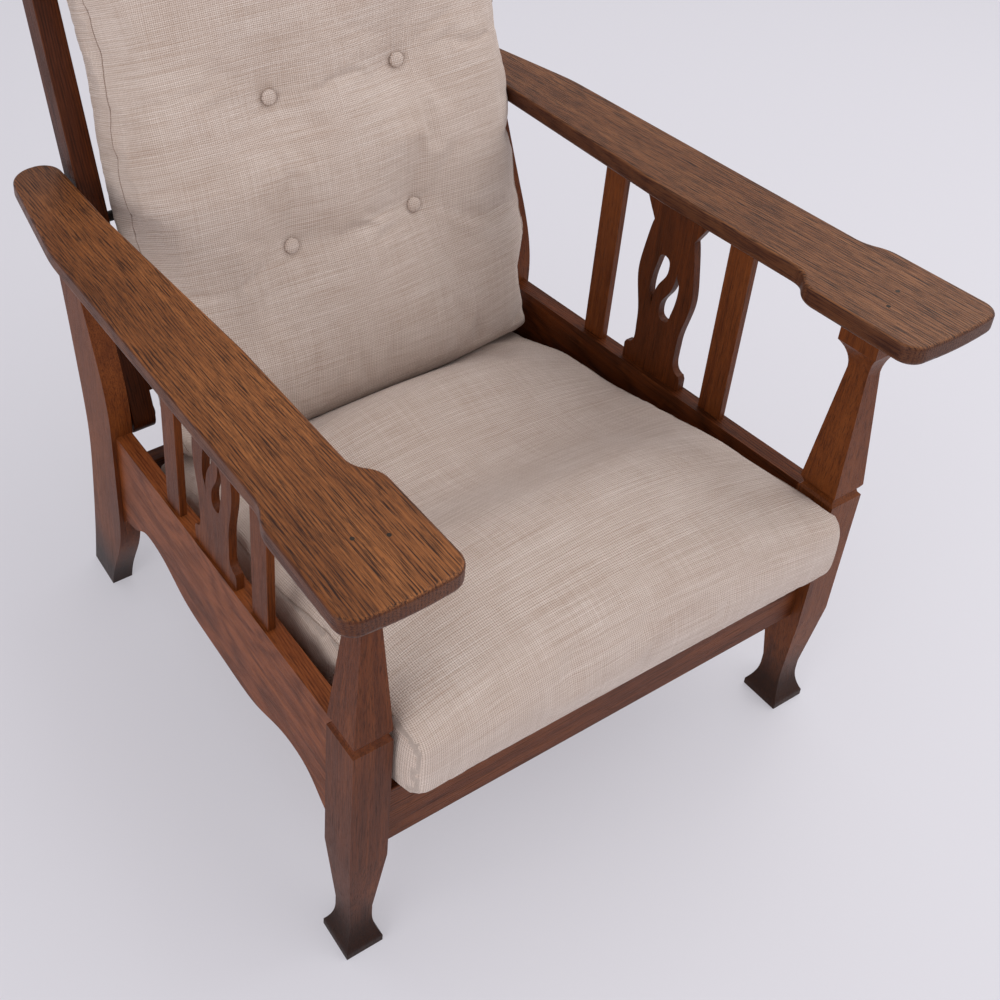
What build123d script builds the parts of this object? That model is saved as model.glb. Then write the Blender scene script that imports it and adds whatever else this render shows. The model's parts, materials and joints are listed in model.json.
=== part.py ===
from build123d import *
import math
import os

# Mission reclining armchair in millimetres: X to the right, Y to the back, Z up.
# Depths are measured from the front face of the front legs, heights from the floor.

# Front legs
leg_size = 46.0
leg_inner_x = 294.0
foot_edge = 9.0
flare_top_z = 46.0
ankle_z = 60.0
ankle_width = 28.0
knee_below_rail = 3.0
block_bevel = 3.0
groove_above_rail = 17.0
groove_height = 8.0
groove_depth = 4.0
post_size = 45.0
neck_below_arm = 72.0
neck_width = 20.0
neck_depth = 24.0
head_below_arm = 37.0
head_size = 45.0

# Side seat rails and the joints cut on their ends
rail_thickness = 22.0
rail_setback = 11.0
rail_front_top_z = 336.0
rail_back_top_z = 313.0
rail_foot_z = 163.0
rail_arch = 44.0
tenon_thickness = 12.0
tenon_length = 25.0
tenon_setback = 27.0
joint_gap = 0.1

# Back legs
back_leg_depth_at = 545.0
back_leg_thickness = 30.0
back_leg_proud = 7.0
back_leg_sweep = 110.0
back_rail_height = 70.0
back_rail_top_z = 250.0
back_rail_thickness = 22.0

# Front seat rail
front_rail_height = 85.0
front_rail_top_z = 245.0
front_rail_setback = 12.0
front_rail_round = 2.0
front_tenon_length = 19.0

# Arms
arm_underside_z = 592.0
arm_thickness = 25.0
arm_overhang = 56.0
arm_tail = 156.0
arm_width = 128.0
arm_inner_overhang = 31.0
arm_front_bow = 4.0
arm_corner = 20.0
arm_step_start = 64.0
arm_step_length = 43.0
arm_outer_waist_share = 0.91
arm_inner_waist_share = 0.162
arm_top_round = 4.0
arm_under_round = 9.0
arm_tenon = 20.0
arm_tenon_length = 16.0

# Uprights between rail and arm
upright_thickness = 10.0
upright_setback = 3.5
slat_width = 32.8
splat_foot_width = 93.6
splat_foot_height = 24.0
splat_top_height = 18.0
pierce_half_height = 46.0
stub_length = 8.0
stub_thickness = 6.0
stub_setback = 6.0

# Seat bearers and seat slats
cleat_width = 20.0
cleat_height = 14.0
cleat_above_rail = 2.0
cleat_end_gap = 4.0
seat_slope_angle = 4.0
seat_slat_count = 7
seat_slat_width = 50.0
seat_slat_thickness = 15.0
seat_slat_end_gap = 9.0
seat_slat_side_gap = 2.0

# Back frame, leaning at its rearmost position
rake_angle = 20.5
pivot_in_leg = 41.0
pivot_below_rail = 14.0
stile_side_gap = 12.0
stile_width = 32.0
stile_depth = 40.0
stile_height = 710.0
stile_top_bevel = 5.0
back_rail_low_height = 50.0
back_rail_low_at = 30.0
crest_height = 78.0
crest_rise = 14.0
crest_below_top = 22.0
frame_rail_thickness = 22.0
frame_tenon_length = 20.0
frame_tenon_thickness = 10.0
frame_tenon_setback = 10.0
lath_count = 5
lath_width = 40.0
lath_thickness = 10.0
lath_side_gap = 62.0
lath_tongue = 8.0

# Pivot pins
pin_radius = 5.0
pin_head_radius = 9.0
pin_head_thickness = 4.0
pin_depth_in_leg = 20.0
spacer_radius = 11.0
running_gap = 0.3
bore_gap = 0.05

# Iron rod and its notched racks
rod_radius = 7.0
rod_end_gap = 1.0
rod_end_bevel = 1.0
rod_below_arm = 58.0
rack_thickness = 5.0
rack_rise = 24.0
rack_drop = 44.0
rack_tail_drop = 20.0
rack_front_reach = 20.0
rack_heel_reach = 66.0
rack_back_reach = 136.0
rack_corner = 5.0
notch_angles = (7.15, 14.1, 20.5)

# Screws and nails
screw_radius = 2.0
screw_head_radius = 4.0
screw_head_angle = 90.0
slat_screw_length = 24.0
cleat_screw_length = 34.0
rack_screw_length = 22.0
rack_screw_front_reach = 32.0
rack_screw_back_reach = 54.0
rack_screw_drop = 32.0
nail_radius = 1.25
nail_head_radius = 2.2
nail_head_thickness = 1.5
nail_length = 44.0
nail_outer_inset = 7.0
nail_outer_at = 21.0
nail_inner_inset = 10.0
nail_inner_at = 9.0

# Seat cushion
seat_side_gap = 5.0
seat_front_at = -25.0
seat_back_gap = 15.0
seat_side_bulge = 5.0
seat_height = 97.0
soft_gap = 0.3

# Back cushion and its buttons
back_cushion_centre_x = 16.0
back_cushion_overlap = 9.0
back_cushion_foot = -25.0
back_cushion_below_top = 75.0
back_cushion_edge = 74.0
back_cushion_crown = 54.0
back_cushion_side_bulge = 6.0
tuft_radius = 58.0
tuft_surface = 110.0
button_radius = 10.0
button_edge = 1.6
button_rise = 3.4
button_seat_gap = 1.2
button_centre_x = 20.0
button_spacing = 188.0
button_low_at = 200.0
button_high_at = 381.0

sides = ((-1, "left"), (1, "right"))

# Places that follow from the sizes above
rake = math.radians(rake_angle)
rail_face_x = leg_inner_x + leg_size - rail_setback
back_leg_inner_x = rail_face_x + back_leg_proud - back_leg_thickness
stile_outer_x = back_leg_inner_x - stile_side_gap
upright_face_x = rail_face_x - upright_setback
arm_paddle_inner_x = leg_inner_x - arm_inner_overhang
pivot_at = back_leg_depth_at + pivot_in_leg
pivot_z = rail_back_top_z - pivot_below_rail
arm_length = arm_overhang + pivot_at + arm_tail
rod_z = arm_underside_z - rod_below_arm
knee_z = rail_foot_z - knee_below_rail
groove_z = rail_front_top_z + groove_above_rail
cleat_front_top_z = front_rail_top_z + cleat_above_rail
cleat_front_at = leg_size + cleat_end_gap
cleat_back_at = back_leg_depth_at - cleat_end_gap
rear_reach = pivot_at + stile_height * math.sin(rake) + stile_depth / 2 * math.cos(rake)
front_y = arm_overhang - (arm_overhang + rear_reach) / 2
leg_centre_x = leg_inner_x + leg_size / 2
rail_length = back_leg_depth_at - leg_size
rail_inner_x = rail_face_x - rail_thickness
tenon_x = rail_face_x - rail_thickness / 2 + tenon_thickness / 4
seat_slope = math.radians(seat_slope_angle)
pivot_y = front_y + pivot_at
back_plane = Plane(
    origin=(0, pivot_y, pivot_z), x_dir=(1, 0, 0), z_dir=(0, -math.cos(rake), math.sin(rake))
)
cushion_back_face = stile_depth / 2 + soft_gap
stile_inner_x = stile_outer_x - stile_width
back_cushion_half_width = stile_inner_x + back_cushion_overlap
back_cushion_height = stile_height - back_cushion_below_top - back_cushion_foot

# The uprights' middles as shares of the rail from leg to leg
front_slat_share = 0.2974
splat_share = 0.4910
rear_slat_share = 0.6956
front_slat_at = leg_size + front_slat_share * rail_length
splat_at = leg_size + splat_share * rail_length
rear_slat_at = leg_size + rear_slat_share * rail_length


def side_plane(x):
    """Upright plane at one x, with depth across and height up."""
    return Plane(origin=(x, front_y, 0), x_dir=(0, 1, 0), z_dir=(1, 0, 0))


def level_plane(z):
    """Level plane at one height, with depths measured from the front legs."""
    return Plane(origin=(0, front_y, z), x_dir=(1, 0, 0), z_dir=(0, 0, 1))


def rake_plane(x):
    """Upright plane through the pivot line, turned to the lean of the back."""
    return Plane(
        origin=(x, pivot_y, pivot_z),
        x_dir=(0, math.cos(rake), -math.sin(rake)),
        z_dir=(1, 0, 0),
    )


def rail_top(depth):
    """Height of the sloping top edge of a side rail."""
    share = (depth - leg_size) / rail_length
    return rail_front_top_z + share * (rail_back_top_z - rail_front_top_z)


def seat_line(depth):
    """Height of the tops of the sloping seat bearers."""
    return cleat_front_top_z - depth * math.tan(seat_slope)


def seat_plane(depth):
    """Plane on the bearers at one depth, tilted like the seat."""
    return Plane(
        origin=(0, front_y + depth, seat_line(depth)),
        x_dir=(1, 0, 0),
        z_dir=(0, math.sin(seat_slope), math.cos(seat_slope)),
    )


def save(part, name):
    part.label = name
    export_step(part, f"parts/{name}.step")


def screw(plane, length):
    """Countersunk wood screw with its head flush in the plane."""
    sink = screw_head_radius / math.tan(math.radians(screw_head_angle / 2))
    with BuildPart() as body:
        with BuildSketch(Plane.XZ):
            Polygon(
                (0, 0),
                (screw_head_radius, 0),
                (screw_radius, screw_radius - sink),
                (screw_radius, screw_radius - length),
                (0, -length),
                align=None,
            )
        revolve(axis=Axis.Z)
    return plane.location * body.part


def screw_hole(plane, length):
    """Countersunk hole for such a screw, with clearance all round."""
    with Locations(plane):
        CounterSinkHole(
            radius=screw_radius + joint_gap,
            counter_sink_radius=screw_head_radius + joint_gap,
            depth=length + joint_gap,
            counter_sink_angle=screw_head_angle,
        )


# Screws of the rack, bearer and seat slat, as planes with the head on top
def rack_screw_planes(side):
    inner = back_leg_inner_x - rack_thickness
    return [
        Plane(origin=(side * inner, pivot_y + reach, rod_z - rack_screw_drop), z_dir=(-side, 0, 0))
        for reach in (rack_screw_front_reach, rack_screw_back_reach)
    ]


def cleat_screw_planes(side):
    """Planes of the screws in a bearer, each half way between two seat slats."""
    planes = []
    for i in (0, seat_slat_count // 2, seat_slat_count - 2):
        depth = (slat_depth(i) + slat_depth(i + 1)) / 2
        origin = (side * (rail_inner_x - cleat_width), front_y + depth, seat_line(depth) - cleat_height / 2)
        planes.append(Plane(origin=origin, z_dir=(-side, 0, 0)))
    return planes


def slat_depth(i):
    """Depth of a seat slat's middle, with the slats spread evenly along the bearers."""
    first = cleat_front_at + seat_slat_end_gap + seat_slat_width / 2
    last = cleat_back_at - seat_slat_end_gap - seat_slat_width / 2
    return first + (last - first) * i / (seat_slat_count - 1)


def slat_screw_plane(side, i):
    plane = seat_plane(slat_depth(i)).offset(seat_slat_thickness)
    centre = plane.from_local_coords((side * (rail_inner_x - cleat_width / 2), 0, 0))
    return Plane(origin=centre, x_dir=plane.x_dir, z_dir=plane.z_dir)


# Front legs: the post's outline sawn in front view, then again in side view
def leg_outline(block, ankle, post, neck, head):
    """Half outline of the leg from the floor to the arm, mirrored about its centre."""
    with BuildLine() as line:
        foot = (block / 2, foot_edge)
        Polyline((0, 0), (block / 2, 0), foot)
        TangentArc((ankle / 2, flare_top_z), foot, tangent=(0, -1))
        Polyline(
            (ankle / 2, flare_top_z),
            (ankle / 2, ankle_z),
            (block / 2, knee_z),
            (block / 2, groove_z - groove_height / 2 - block_bevel),
            (block / 2 - block_bevel, groove_z - groove_height / 2),
            (block / 2 - groove_depth, groove_z),
            (post / 2 - block_bevel / 2, groove_z + groove_height / 2),
            (post / 2, groove_z + groove_height),
            (neck / 2, arm_underside_z - neck_below_arm),
        )
        throat = (neck / 2, arm_underside_z - neck_below_arm)
        cap = (head / 2, arm_underside_z - head_below_arm)
        TangentArc(throat, cap, tangent=(0, 1))
        Polyline(cap, (head / 2, arm_underside_z), (0, arm_underside_z))
        mirror(about=Plane.YZ)
    return line.line


def front_leg(side, hand):
    centre = (side * leg_centre_x, front_y + leg_size / 2, 0)
    front_view = Plane(origin=centre, x_dir=(1, 0, 0), z_dir=(0, -1, 0))
    side_view = Plane(origin=centre, x_dir=(0, 1, 0), z_dir=(1, 0, 0))
    with BuildPart() as leg:
        with BuildSketch(front_view):
            add(leg_outline(leg_size, ankle_width, post_size, neck_width, head_size))
            make_face()
        extrude(amount=leg_size, both=True)
        with BuildSketch(side_view):
            add(leg_outline(leg_size, ankle_width, post_size, neck_depth, head_size))
            make_face()
        extrude(amount=leg_size, both=True, mode=Mode.INTERSECT)
        with BuildSketch(Plane(origin=(centre[0], centre[1], arm_underside_z))):
            Rectangle(arm_tenon, arm_tenon)
        extrude(amount=arm_tenon_length)
        side_rail_tenon(side, leg_size, -tenon_length, joint_gap, Mode.SUBTRACT)
        front_rail_tenon(side, joint_gap, Mode.SUBTRACT)
        nail_holes(side)
    save(leg.part, f"front_leg_{hand}")


def side_rail_tenon(side, start, length, gap, mode):
    """Tenon on a side rail's end, or its mortise where a gap is given."""
    low = rail_foot_z + tenon_setback
    high = rail_top(start) - tenon_setback * (1 if length < 0 else 0.5)
    if length > 0:
        low = back_rail_top_z
    reach = length + math.copysign(gap, length)
    with BuildSketch(side_plane(side * (tenon_x - tenon_thickness / 2 - gap))) as face:
        Polygon(
            (start, low - gap),
            (start + reach, low - gap),
            (start + reach, high + gap),
            (start, high + gap),
            align=None,
        )
    extrude(face.sketch, amount=side * (tenon_thickness + 2 * gap), mode=mode)


def front_rail_tenon(side, gap, mode):
    """Tenon on the front rail's end, or its mortise where a gap is given."""
    low = front_rail_top_z - front_rail_height + tenon_thickness
    high = front_rail_top_z - tenon_thickness
    at = front_rail_setback + (rail_thickness - tenon_thickness) / 2
    with BuildSketch(side_plane(side * leg_inner_x)) as face:
        Polygon(
            (at - gap, low - gap),
            (at + tenon_thickness + gap, low - gap),
            (at + tenon_thickness + gap, high + gap),
            (at - gap, high + gap),
            align=None,
        )
    extrude(face.sketch, amount=side * (front_tenon_length + gap), mode=mode)


def back_rail_tenon(side, gap, mode):
    """Tenon on the rear rail's end, or its mortise where a gap is given."""
    low = back_rail_top_z - back_rail_height + tenon_thickness
    high = back_rail_top_z - tenon_thickness
    at = back_leg_depth_at + (back_rail_thickness - tenon_thickness) / 2
    with BuildSketch(side_plane(side * back_leg_inner_x)) as face:
        Polygon(
            (at - gap, low - gap),
            (at + tenon_thickness + gap, low - gap),
            (at + tenon_thickness + gap, high + gap),
            (at - gap, high + gap),
            align=None,
        )
    extrude(face.sketch, amount=side * (front_tenon_length + gap), mode=mode)


def arm_nails(side):
    """Places of the two nails through the arm into the post."""
    return [
        (side * (leg_inner_x + leg_size - nail_outer_inset), front_y + nail_outer_at),
        (side * (leg_inner_x + nail_inner_inset), front_y + nail_inner_at),
    ]


def nail_holes(side):
    top = arm_underside_z + arm_thickness
    with Locations(*[(x, y, top) for x, y in arm_nails(side)]):
        CounterBoreHole(
            radius=nail_radius + bore_gap,
            counter_bore_radius=nail_head_radius + bore_gap,
            counter_bore_depth=nail_head_thickness,
            depth=nail_length + bore_gap,
        )


def nails():
    with BuildPart() as group:
        for side, hand in sides:
            for x, y in arm_nails(side):
                with BuildSketch(Plane(origin=(x, y, arm_underside_z + arm_thickness))):
                    Circle(nail_head_radius)
                extrude(amount=-nail_head_thickness)
                with BuildSketch(Plane(origin=(x, y, arm_underside_z + arm_thickness))):
                    Circle(nail_radius)
                extrude(amount=-nail_length)
    save(group.part, "arm_nails")


# Back legs: one sawn curve, straight where the seat rail joins
back_leg_front_foot_shares = ((0.46, 0.0), (0.10, 0.18), (0.0, 0.30))
back_leg_front_head_shares = ((0.0, 0.535), (0.35, 0.772), (0.88, 1.0))
back_leg_rear_shares = ((1.38, 1.0), (1.11, 0.84), (0.83, 0.60), (0.72, 0.46), (0.76, 0.31), (1.0, 0.0))


def back_leg_points(shares):
    return [(back_leg_depth_at + across * back_leg_sweep, up * arm_underside_z) for across, up in shares]


def back_leg(side, hand):
    foot_points = back_leg_points(back_leg_front_foot_shares)
    head_points = back_leg_points(back_leg_front_head_shares)
    rear_points = back_leg_points(back_leg_rear_shares)
    with BuildPart() as leg:
        with BuildSketch(side_plane(side * back_leg_inner_x)):
            with BuildLine():
                Spline(foot_points, tangents=[(-0.18, 1), (0, 1)])
                Line(foot_points[-1], head_points[0])
                Spline(head_points, tangents=[(0, 1), (0.45, 1)])
                Line(head_points[-1], rear_points[0])
                Spline(rear_points, tangents=[(-0.35, -1), (0.2, -1)])
                Line(rear_points[-1], foot_points[0])
            make_face()
        extrude(amount=side * back_leg_thickness)
        back_leg_tenon(side, 0, Mode.ADD)
        side_rail_tenon(side, back_leg_depth_at, tenon_length, joint_gap, Mode.SUBTRACT)
        back_rail_tenon(side, joint_gap, Mode.SUBTRACT)
        with Locations(Plane(origin=(side * back_leg_inner_x, pivot_y, pivot_z), z_dir=(-side, 0, 0))):
            Hole(pin_radius + bore_gap, depth=pin_depth_in_leg + bore_gap)
        for plane in rack_screw_planes(side):
            screw_hole(plane, rack_screw_length)
    save(leg.part, f"back_leg_{hand}")


def back_leg_tenon(side, gap, mode):
    """Tenon on the back leg's top, or its mortise in the arm where a gap is given."""
    front, rear = back_leg_points((back_leg_front_head_shares[-1], back_leg_rear_shares[0]))
    centre_x = side * (back_leg_inner_x + back_leg_thickness / 2)
    centre = (centre_x, front_y + (front[0] + rear[0]) / 2, arm_underside_z)
    with BuildSketch(Plane(origin=centre)) as face:
        Rectangle(tenon_thickness + 2 * gap, arm_tenon + 2 * gap)
    extrude(face.sketch, amount=arm_tenon_length + gap, mode=mode)


# Side rails: serpentine lower edge with a bracket at each leg and a belly between
front_arch_shares = ((0.0, 0.0), (0.044, 0.44), (0.097, 0.88), (0.15, 1.0), (0.213, 0.9), (0.301, 0.52), (0.407, 0.38))
back_arch_shares = ((0.0, 0.0), (0.072, 0.44), (0.126, 0.88), (0.18, 1.0), (0.243, 0.9), (0.331, 0.52), (0.437, 0.38))


def side_rail(side, hand):
    front_arch = [(leg_size + s * rail_length, rail_foot_z + h * rail_arch) for s, h in front_arch_shares]
    back_arch = [(back_leg_depth_at - s * rail_length, rail_foot_z + h * rail_arch) for s, h in back_arch_shares]
    back_arch.reverse()
    with BuildPart() as rail:
        with BuildSketch(side_plane(side * rail_inner_x)):
            with BuildLine():
                Spline(front_arch, tangents=[(0.6, 1), (1, 0)])
                Line(front_arch[-1], back_arch[0])
                Spline(back_arch, tangents=[(1, 0), (0.6, -1)])
                Polyline(
                    back_arch[-1],
                    (back_leg_depth_at, rail_back_top_z),
                    (leg_size, rail_front_top_z),
                    front_arch[0],
                )
            make_face()
        extrude(amount=side * rail_thickness)
        side_rail_tenon(side, leg_size, -tenon_length, 0, Mode.ADD)
        side_rail_tenon(side, back_leg_depth_at, tenon_length, 0, Mode.ADD)
        for at in (front_slat_at, rear_slat_at):
            stub(side, at, slat_width, rail_top(at), -stub_length, joint_gap, Mode.SUBTRACT)
        stub(side, splat_at, splat_foot_width, rail_top(splat_at), -stub_length, joint_gap, Mode.SUBTRACT)
        for plane in cleat_screw_planes(side):
            screw_hole(plane, cleat_screw_length)
    save(rail.part, f"side_rail_{hand}")


def stub(side, at, width, z, length, gap, mode):
    """Stub tenon on the end of an upright, or its mortise where a gap is given."""
    half = width / 2 - stub_setback + gap
    centre_x = upright_face_x - upright_thickness / 2
    drop = (rail_top(at - half) - rail_top(at + half)) if length < 0 else 0
    with BuildSketch(side_plane(side * (centre_x - stub_thickness / 2 - gap))) as face:
        Polygon(
            (at - half, z + length + math.copysign(gap, length)),
            (at + half, z + length + math.copysign(gap, length)),
            (at + half, z - math.copysign(drop, length)),
            (at - half, z - math.copysign(drop, length)),
            align=None,
        )
    extrude(face.sketch, amount=side * (stub_thickness + 2 * gap), mode=mode)


def upright_slat(side, hand, at, name):
    with BuildPart() as slat:
        with BuildSketch(side_plane(side * (upright_face_x - upright_thickness))):
            Polygon(
                (at - slat_width / 2, rail_top(at - slat_width / 2)),
                (at + slat_width / 2, rail_top(at + slat_width / 2)),
                (at + slat_width / 2, arm_underside_z),
                (at - slat_width / 2, arm_underside_z),
                align=None,
            )
        extrude(amount=side * upright_thickness)
        stub(side, at, slat_width, rail_top(at), -stub_length, 0, Mode.ADD)
        stub(side, at, slat_width, arm_underside_z, stub_length, 0, Mode.ADD)
    save(slat.part, f"{name}_{hand}")


# Splats: waisted outline with two comma-shaped piercings turned about one centre
splat_waist_shares = ((0.95, 0.0), (0.70, 0.13), (0.72, 0.24), (0.92, 0.48), (0.86, 0.66), (0.69, 0.86), (1.0, 1.0))
pierce_inner_shares = ((0.34, -1.0), (0.29, -0.30), (0.19, 0.04), (0.0, 0.41), (-0.05, 0.76), (0.15, 1.0))
pierce_outer_shares = ((0.15, 1.0), (0.33, 0.76), (0.43, 0.24), (0.44, -0.40), (0.34, -1.0))


def splat(side, hand):
    half = splat_foot_width / 2
    waist_low = rail_top(splat_at) + splat_foot_height
    waist_high = arm_underside_z - splat_top_height
    rise = waist_high - waist_low
    pierce_centre_z = (rail_top(splat_at) + arm_underside_z) / 2

    def edge(turn):
        """One long edge, from the shoulder of the foot up to the top."""
        return [(splat_at + turn * half * w, waist_low + rise * h) for w, h in splat_waist_shares]

    def pierce(shares, turn):
        return [
            (splat_at + turn * half * across, pierce_centre_z + turn * pierce_half_height * up)
            for across, up in shares
        ]

    with BuildPart() as board:
        with BuildSketch(side_plane(side * (upright_face_x - upright_thickness))):
            with BuildLine():
                front, rear = edge(-1), edge(1)
                Polyline(
                    front[0],
                    (splat_at - half, waist_low - upright_thickness / 2),
                    (splat_at - half, rail_top(splat_at - half)),
                    (splat_at + half, rail_top(splat_at + half)),
                    (splat_at + half, waist_low - upright_thickness / 2),
                    rear[0],
                )
                Spline(rear, tangents=[(-1, 0.15), (0.5, 1)])
                Polyline(
                    rear[-1],
                    (splat_at + half, arm_underside_z),
                    (splat_at - half, arm_underside_z),
                    front[-1],
                )
                Spline(front, tangents=[(1, 0.15), (-0.5, 1)])
            make_face()
        extrude(amount=side * upright_thickness)
        for turn in (1, -1):
            with BuildSketch(side_plane(side * (upright_face_x - upright_thickness))):
                with BuildLine():
                    inner = pierce(pierce_inner_shares, turn)
                    outer = pierce(pierce_outer_shares, turn)
                    Spline(inner, tangents=[(0, turn), (turn, 0)])
                    Spline(outer, tangents=[(turn, 0), (0, -turn)])
                make_face()
            extrude(amount=side * upright_thickness, mode=Mode.SUBTRACT)
        stub(side, splat_at, splat_foot_width, rail_top(splat_at), -stub_length, 0, Mode.ADD)
        stub(side, splat_at, splat_foot_width, arm_underside_z, stub_length, 0, Mode.ADD)
    save(board.part, f"splat_{hand}")


def rail_across(name, half_span, at, low, height, thickness, tenon):
    """Straight rail from leg to leg with a tenon on each end."""
    with BuildPart() as rail:
        with BuildSketch(side_plane(-half_span)):
            Polygon((at, low), (at + thickness, low), (at + thickness, low + height), (at, low + height), align=None)
        extrude(amount=2 * half_span)
        fillet(rail.edges().filter_by(Axis.X), radius=front_rail_round)
        for side, hand in sides:
            tenon(side, 0, Mode.ADD)
    save(rail.part, name)


# Arms: paddle in front, S-shaped step on both edges, rounded nose behind
# Each row: share of the arm's width, share of its length, rounding as a share of its width
arm_edge_shares = (
    (0.954, 0.765, 2.0),
    (0.765, 1.0, 0.27),
    (0.285, 1.0, 0.22),
    (0.285, 0.80, 1.5),
    (0.162, 0.43, 2.0),
)


def arm(side, hand):
    def place(x, depth):
        return (side * x, depth)

    outer_x = arm_paddle_inner_x + arm_width
    front = arm_front_bow - arm_overhang
    step_end = arm_step_start + arm_step_length
    outer_waist = place(arm_paddle_inner_x + arm_outer_waist_share * arm_width, step_end)
    inner_waist = place(arm_paddle_inner_x + arm_inner_waist_share * arm_width, step_end)
    corners = [
        place(arm_paddle_inner_x + w * arm_width, d * arm_length - arm_overhang)
        for w, d, r in arm_edge_shares
    ]
    roundings = [r * arm_width for w, d, r in arm_edge_shares]

    def step(paddle_x, waist):
        """Two equal arcs that lead from the paddle's edge to the arm's edge."""
        start = place(paddle_x, arm_step_start)
        middle = ((start[0] + waist[0]) / 2, (start[1] + waist[1]) / 2)
        TangentArc(start, middle, tangent=(0, 1))
        TangentArc(waist, middle, tangent=(0, -1))

    with BuildPart() as board:
        with BuildSketch(level_plane(arm_underside_z)) as plan:
            with BuildLine():
                ThreePointArc(
                    place(arm_paddle_inner_x, front),
                    place(arm_paddle_inner_x + arm_width / 2, -arm_overhang),
                    place(outer_x, front),
                )
                Line(place(outer_x, front), place(outer_x, arm_step_start))
                step(outer_x, outer_waist)
                FilletPolyline(outer_waist, *corners, inner_waist, radius=roundings)
                step(arm_paddle_inner_x, inner_waist)
                Line(place(arm_paddle_inner_x, arm_step_start), place(arm_paddle_inner_x, front))
            make_face()
            fillet(plan.vertices().group_by(Axis.Y)[0], radius=arm_corner)
        extrude(amount=arm_thickness)
        fillet(board.faces().sort_by(Axis.Z)[-1].edges(), radius=arm_top_round)
        fillet(board.faces().sort_by(Axis.Z)[0].edges(), radius=arm_under_round)
        with BuildSketch(Plane(origin=(side * leg_centre_x, front_y + leg_size / 2, arm_underside_z))):
            Rectangle(arm_tenon + 2 * joint_gap, arm_tenon + 2 * joint_gap)
        extrude(amount=arm_tenon_length + joint_gap, mode=Mode.SUBTRACT)
        back_leg_tenon(side, joint_gap, Mode.SUBTRACT)
        for at, width in ((front_slat_at, slat_width), (splat_at, splat_foot_width), (rear_slat_at, slat_width)):
            stub(side, at, width, arm_underside_z, stub_length, joint_gap, Mode.SUBTRACT)
        nail_holes(side)
    save(board.part, f"arm_{hand}")


# Seat bearers and slats
def seat_cleat(side, hand):
    with BuildPart() as cleat:
        with BuildSketch(side_plane(side * (rail_inner_x - cleat_width))):
            Polygon(
                (cleat_front_at, seat_line(cleat_front_at) - cleat_height),
                (cleat_back_at, seat_line(cleat_back_at) - cleat_height),
                (cleat_back_at, seat_line(cleat_back_at)),
                (cleat_front_at, seat_line(cleat_front_at)),
                align=None,
            )
        extrude(amount=side * cleat_width)
        for plane in cleat_screw_planes(side):
            screw_hole(plane, cleat_screw_length)
        for i in range(seat_slat_count):
            screw_hole(slat_screw_plane(side, i), slat_screw_length)
    save(cleat.part, f"seat_cleat_{hand}")


def seat_slat(i):
    plane = seat_plane(slat_depth(i))
    with BuildPart() as slat:
        with BuildSketch(plane):
            Rectangle(2 * (rail_inner_x - seat_slat_side_gap), seat_slat_width)
        extrude(amount=seat_slat_thickness)
        for side, hand in sides:
            screw_hole(slat_screw_plane(side, i), slat_screw_length)
    save(slat.part, f"seat_slat_{i + 1}")


# Back frame: stiles with rounded feet, crest rail, bottom rail and laths
def back_stile(side, hand):
    with BuildPart() as stile:
        with BuildSketch(rake_plane(side * stile_inner_x)):
            with Locations((0, stile_height / 2)):
                Rectangle(stile_depth, stile_height)
            Circle(stile_depth / 2)
            Circle(pin_radius + bore_gap, mode=Mode.SUBTRACT)
        extrude(amount=side * stile_width)
        top_face = stile.faces().sort_by(Axis.Z)[-1]
        chamfer(top_face.edges().filter_by(Axis.X, reverse=True), length=stile_top_bevel)
        frame_tenon(side, back_rail_low_at, back_rail_low_height, joint_gap, Mode.SUBTRACT)
        frame_tenon(side, crest_low(), crest_height, joint_gap, Mode.SUBTRACT)
    save(stile.part, f"back_stile_{hand}")


def crest_low():
    return stile_height - crest_below_top - crest_height


def frame_tenon(side, low, height, gap, mode):
    """Tenon on a rail of the back frame, or its mortise where a gap is given."""
    high = low + height - frame_tenon_setback
    low = low + frame_tenon_setback
    half = frame_tenon_thickness / 2 + gap
    with BuildSketch(rake_plane(side * stile_inner_x)) as face:
        Polygon((-half, low - gap), (half, low - gap), (half, high + gap), (-half, high + gap), align=None)
    extrude(face.sketch, amount=side * (frame_tenon_length + gap), mode=mode)


def lath_places():
    first = lath_side_gap + lath_width / 2 - stile_inner_x
    return [first - 2 * first * i / (lath_count - 1) for i in range(lath_count)]


def lath_slots(low, high, gap, mode):
    """Grooves in a rail for the ends of the laths."""
    with BuildSketch(back_plane.offset(-lath_thickness / 2 - gap)) as face:
        with Locations(*[(x, (low + high) / 2) for x in lath_places()]):
            Rectangle(lath_width + 2 * gap, high - low)
    extrude(face.sketch, amount=lath_thickness + 2 * gap, mode=mode)


def back_bottom_rail():
    top = back_rail_low_at + back_rail_low_height
    with BuildPart() as rail:
        with BuildSketch(back_plane.offset(-frame_rail_thickness / 2)):
            with Locations((0, top - back_rail_low_height / 2)):
                Rectangle(2 * stile_inner_x, back_rail_low_height)
        extrude(amount=frame_rail_thickness)
        fillet(rail.edges().filter_by(Axis.X), radius=front_rail_round)
        for side, hand in sides:
            frame_tenon(side, back_rail_low_at, back_rail_low_height, 0, Mode.ADD)
        lath_slots(top - lath_tongue - joint_gap, top, joint_gap, Mode.SUBTRACT)
    save(rail.part, "back_bottom_rail")


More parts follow.
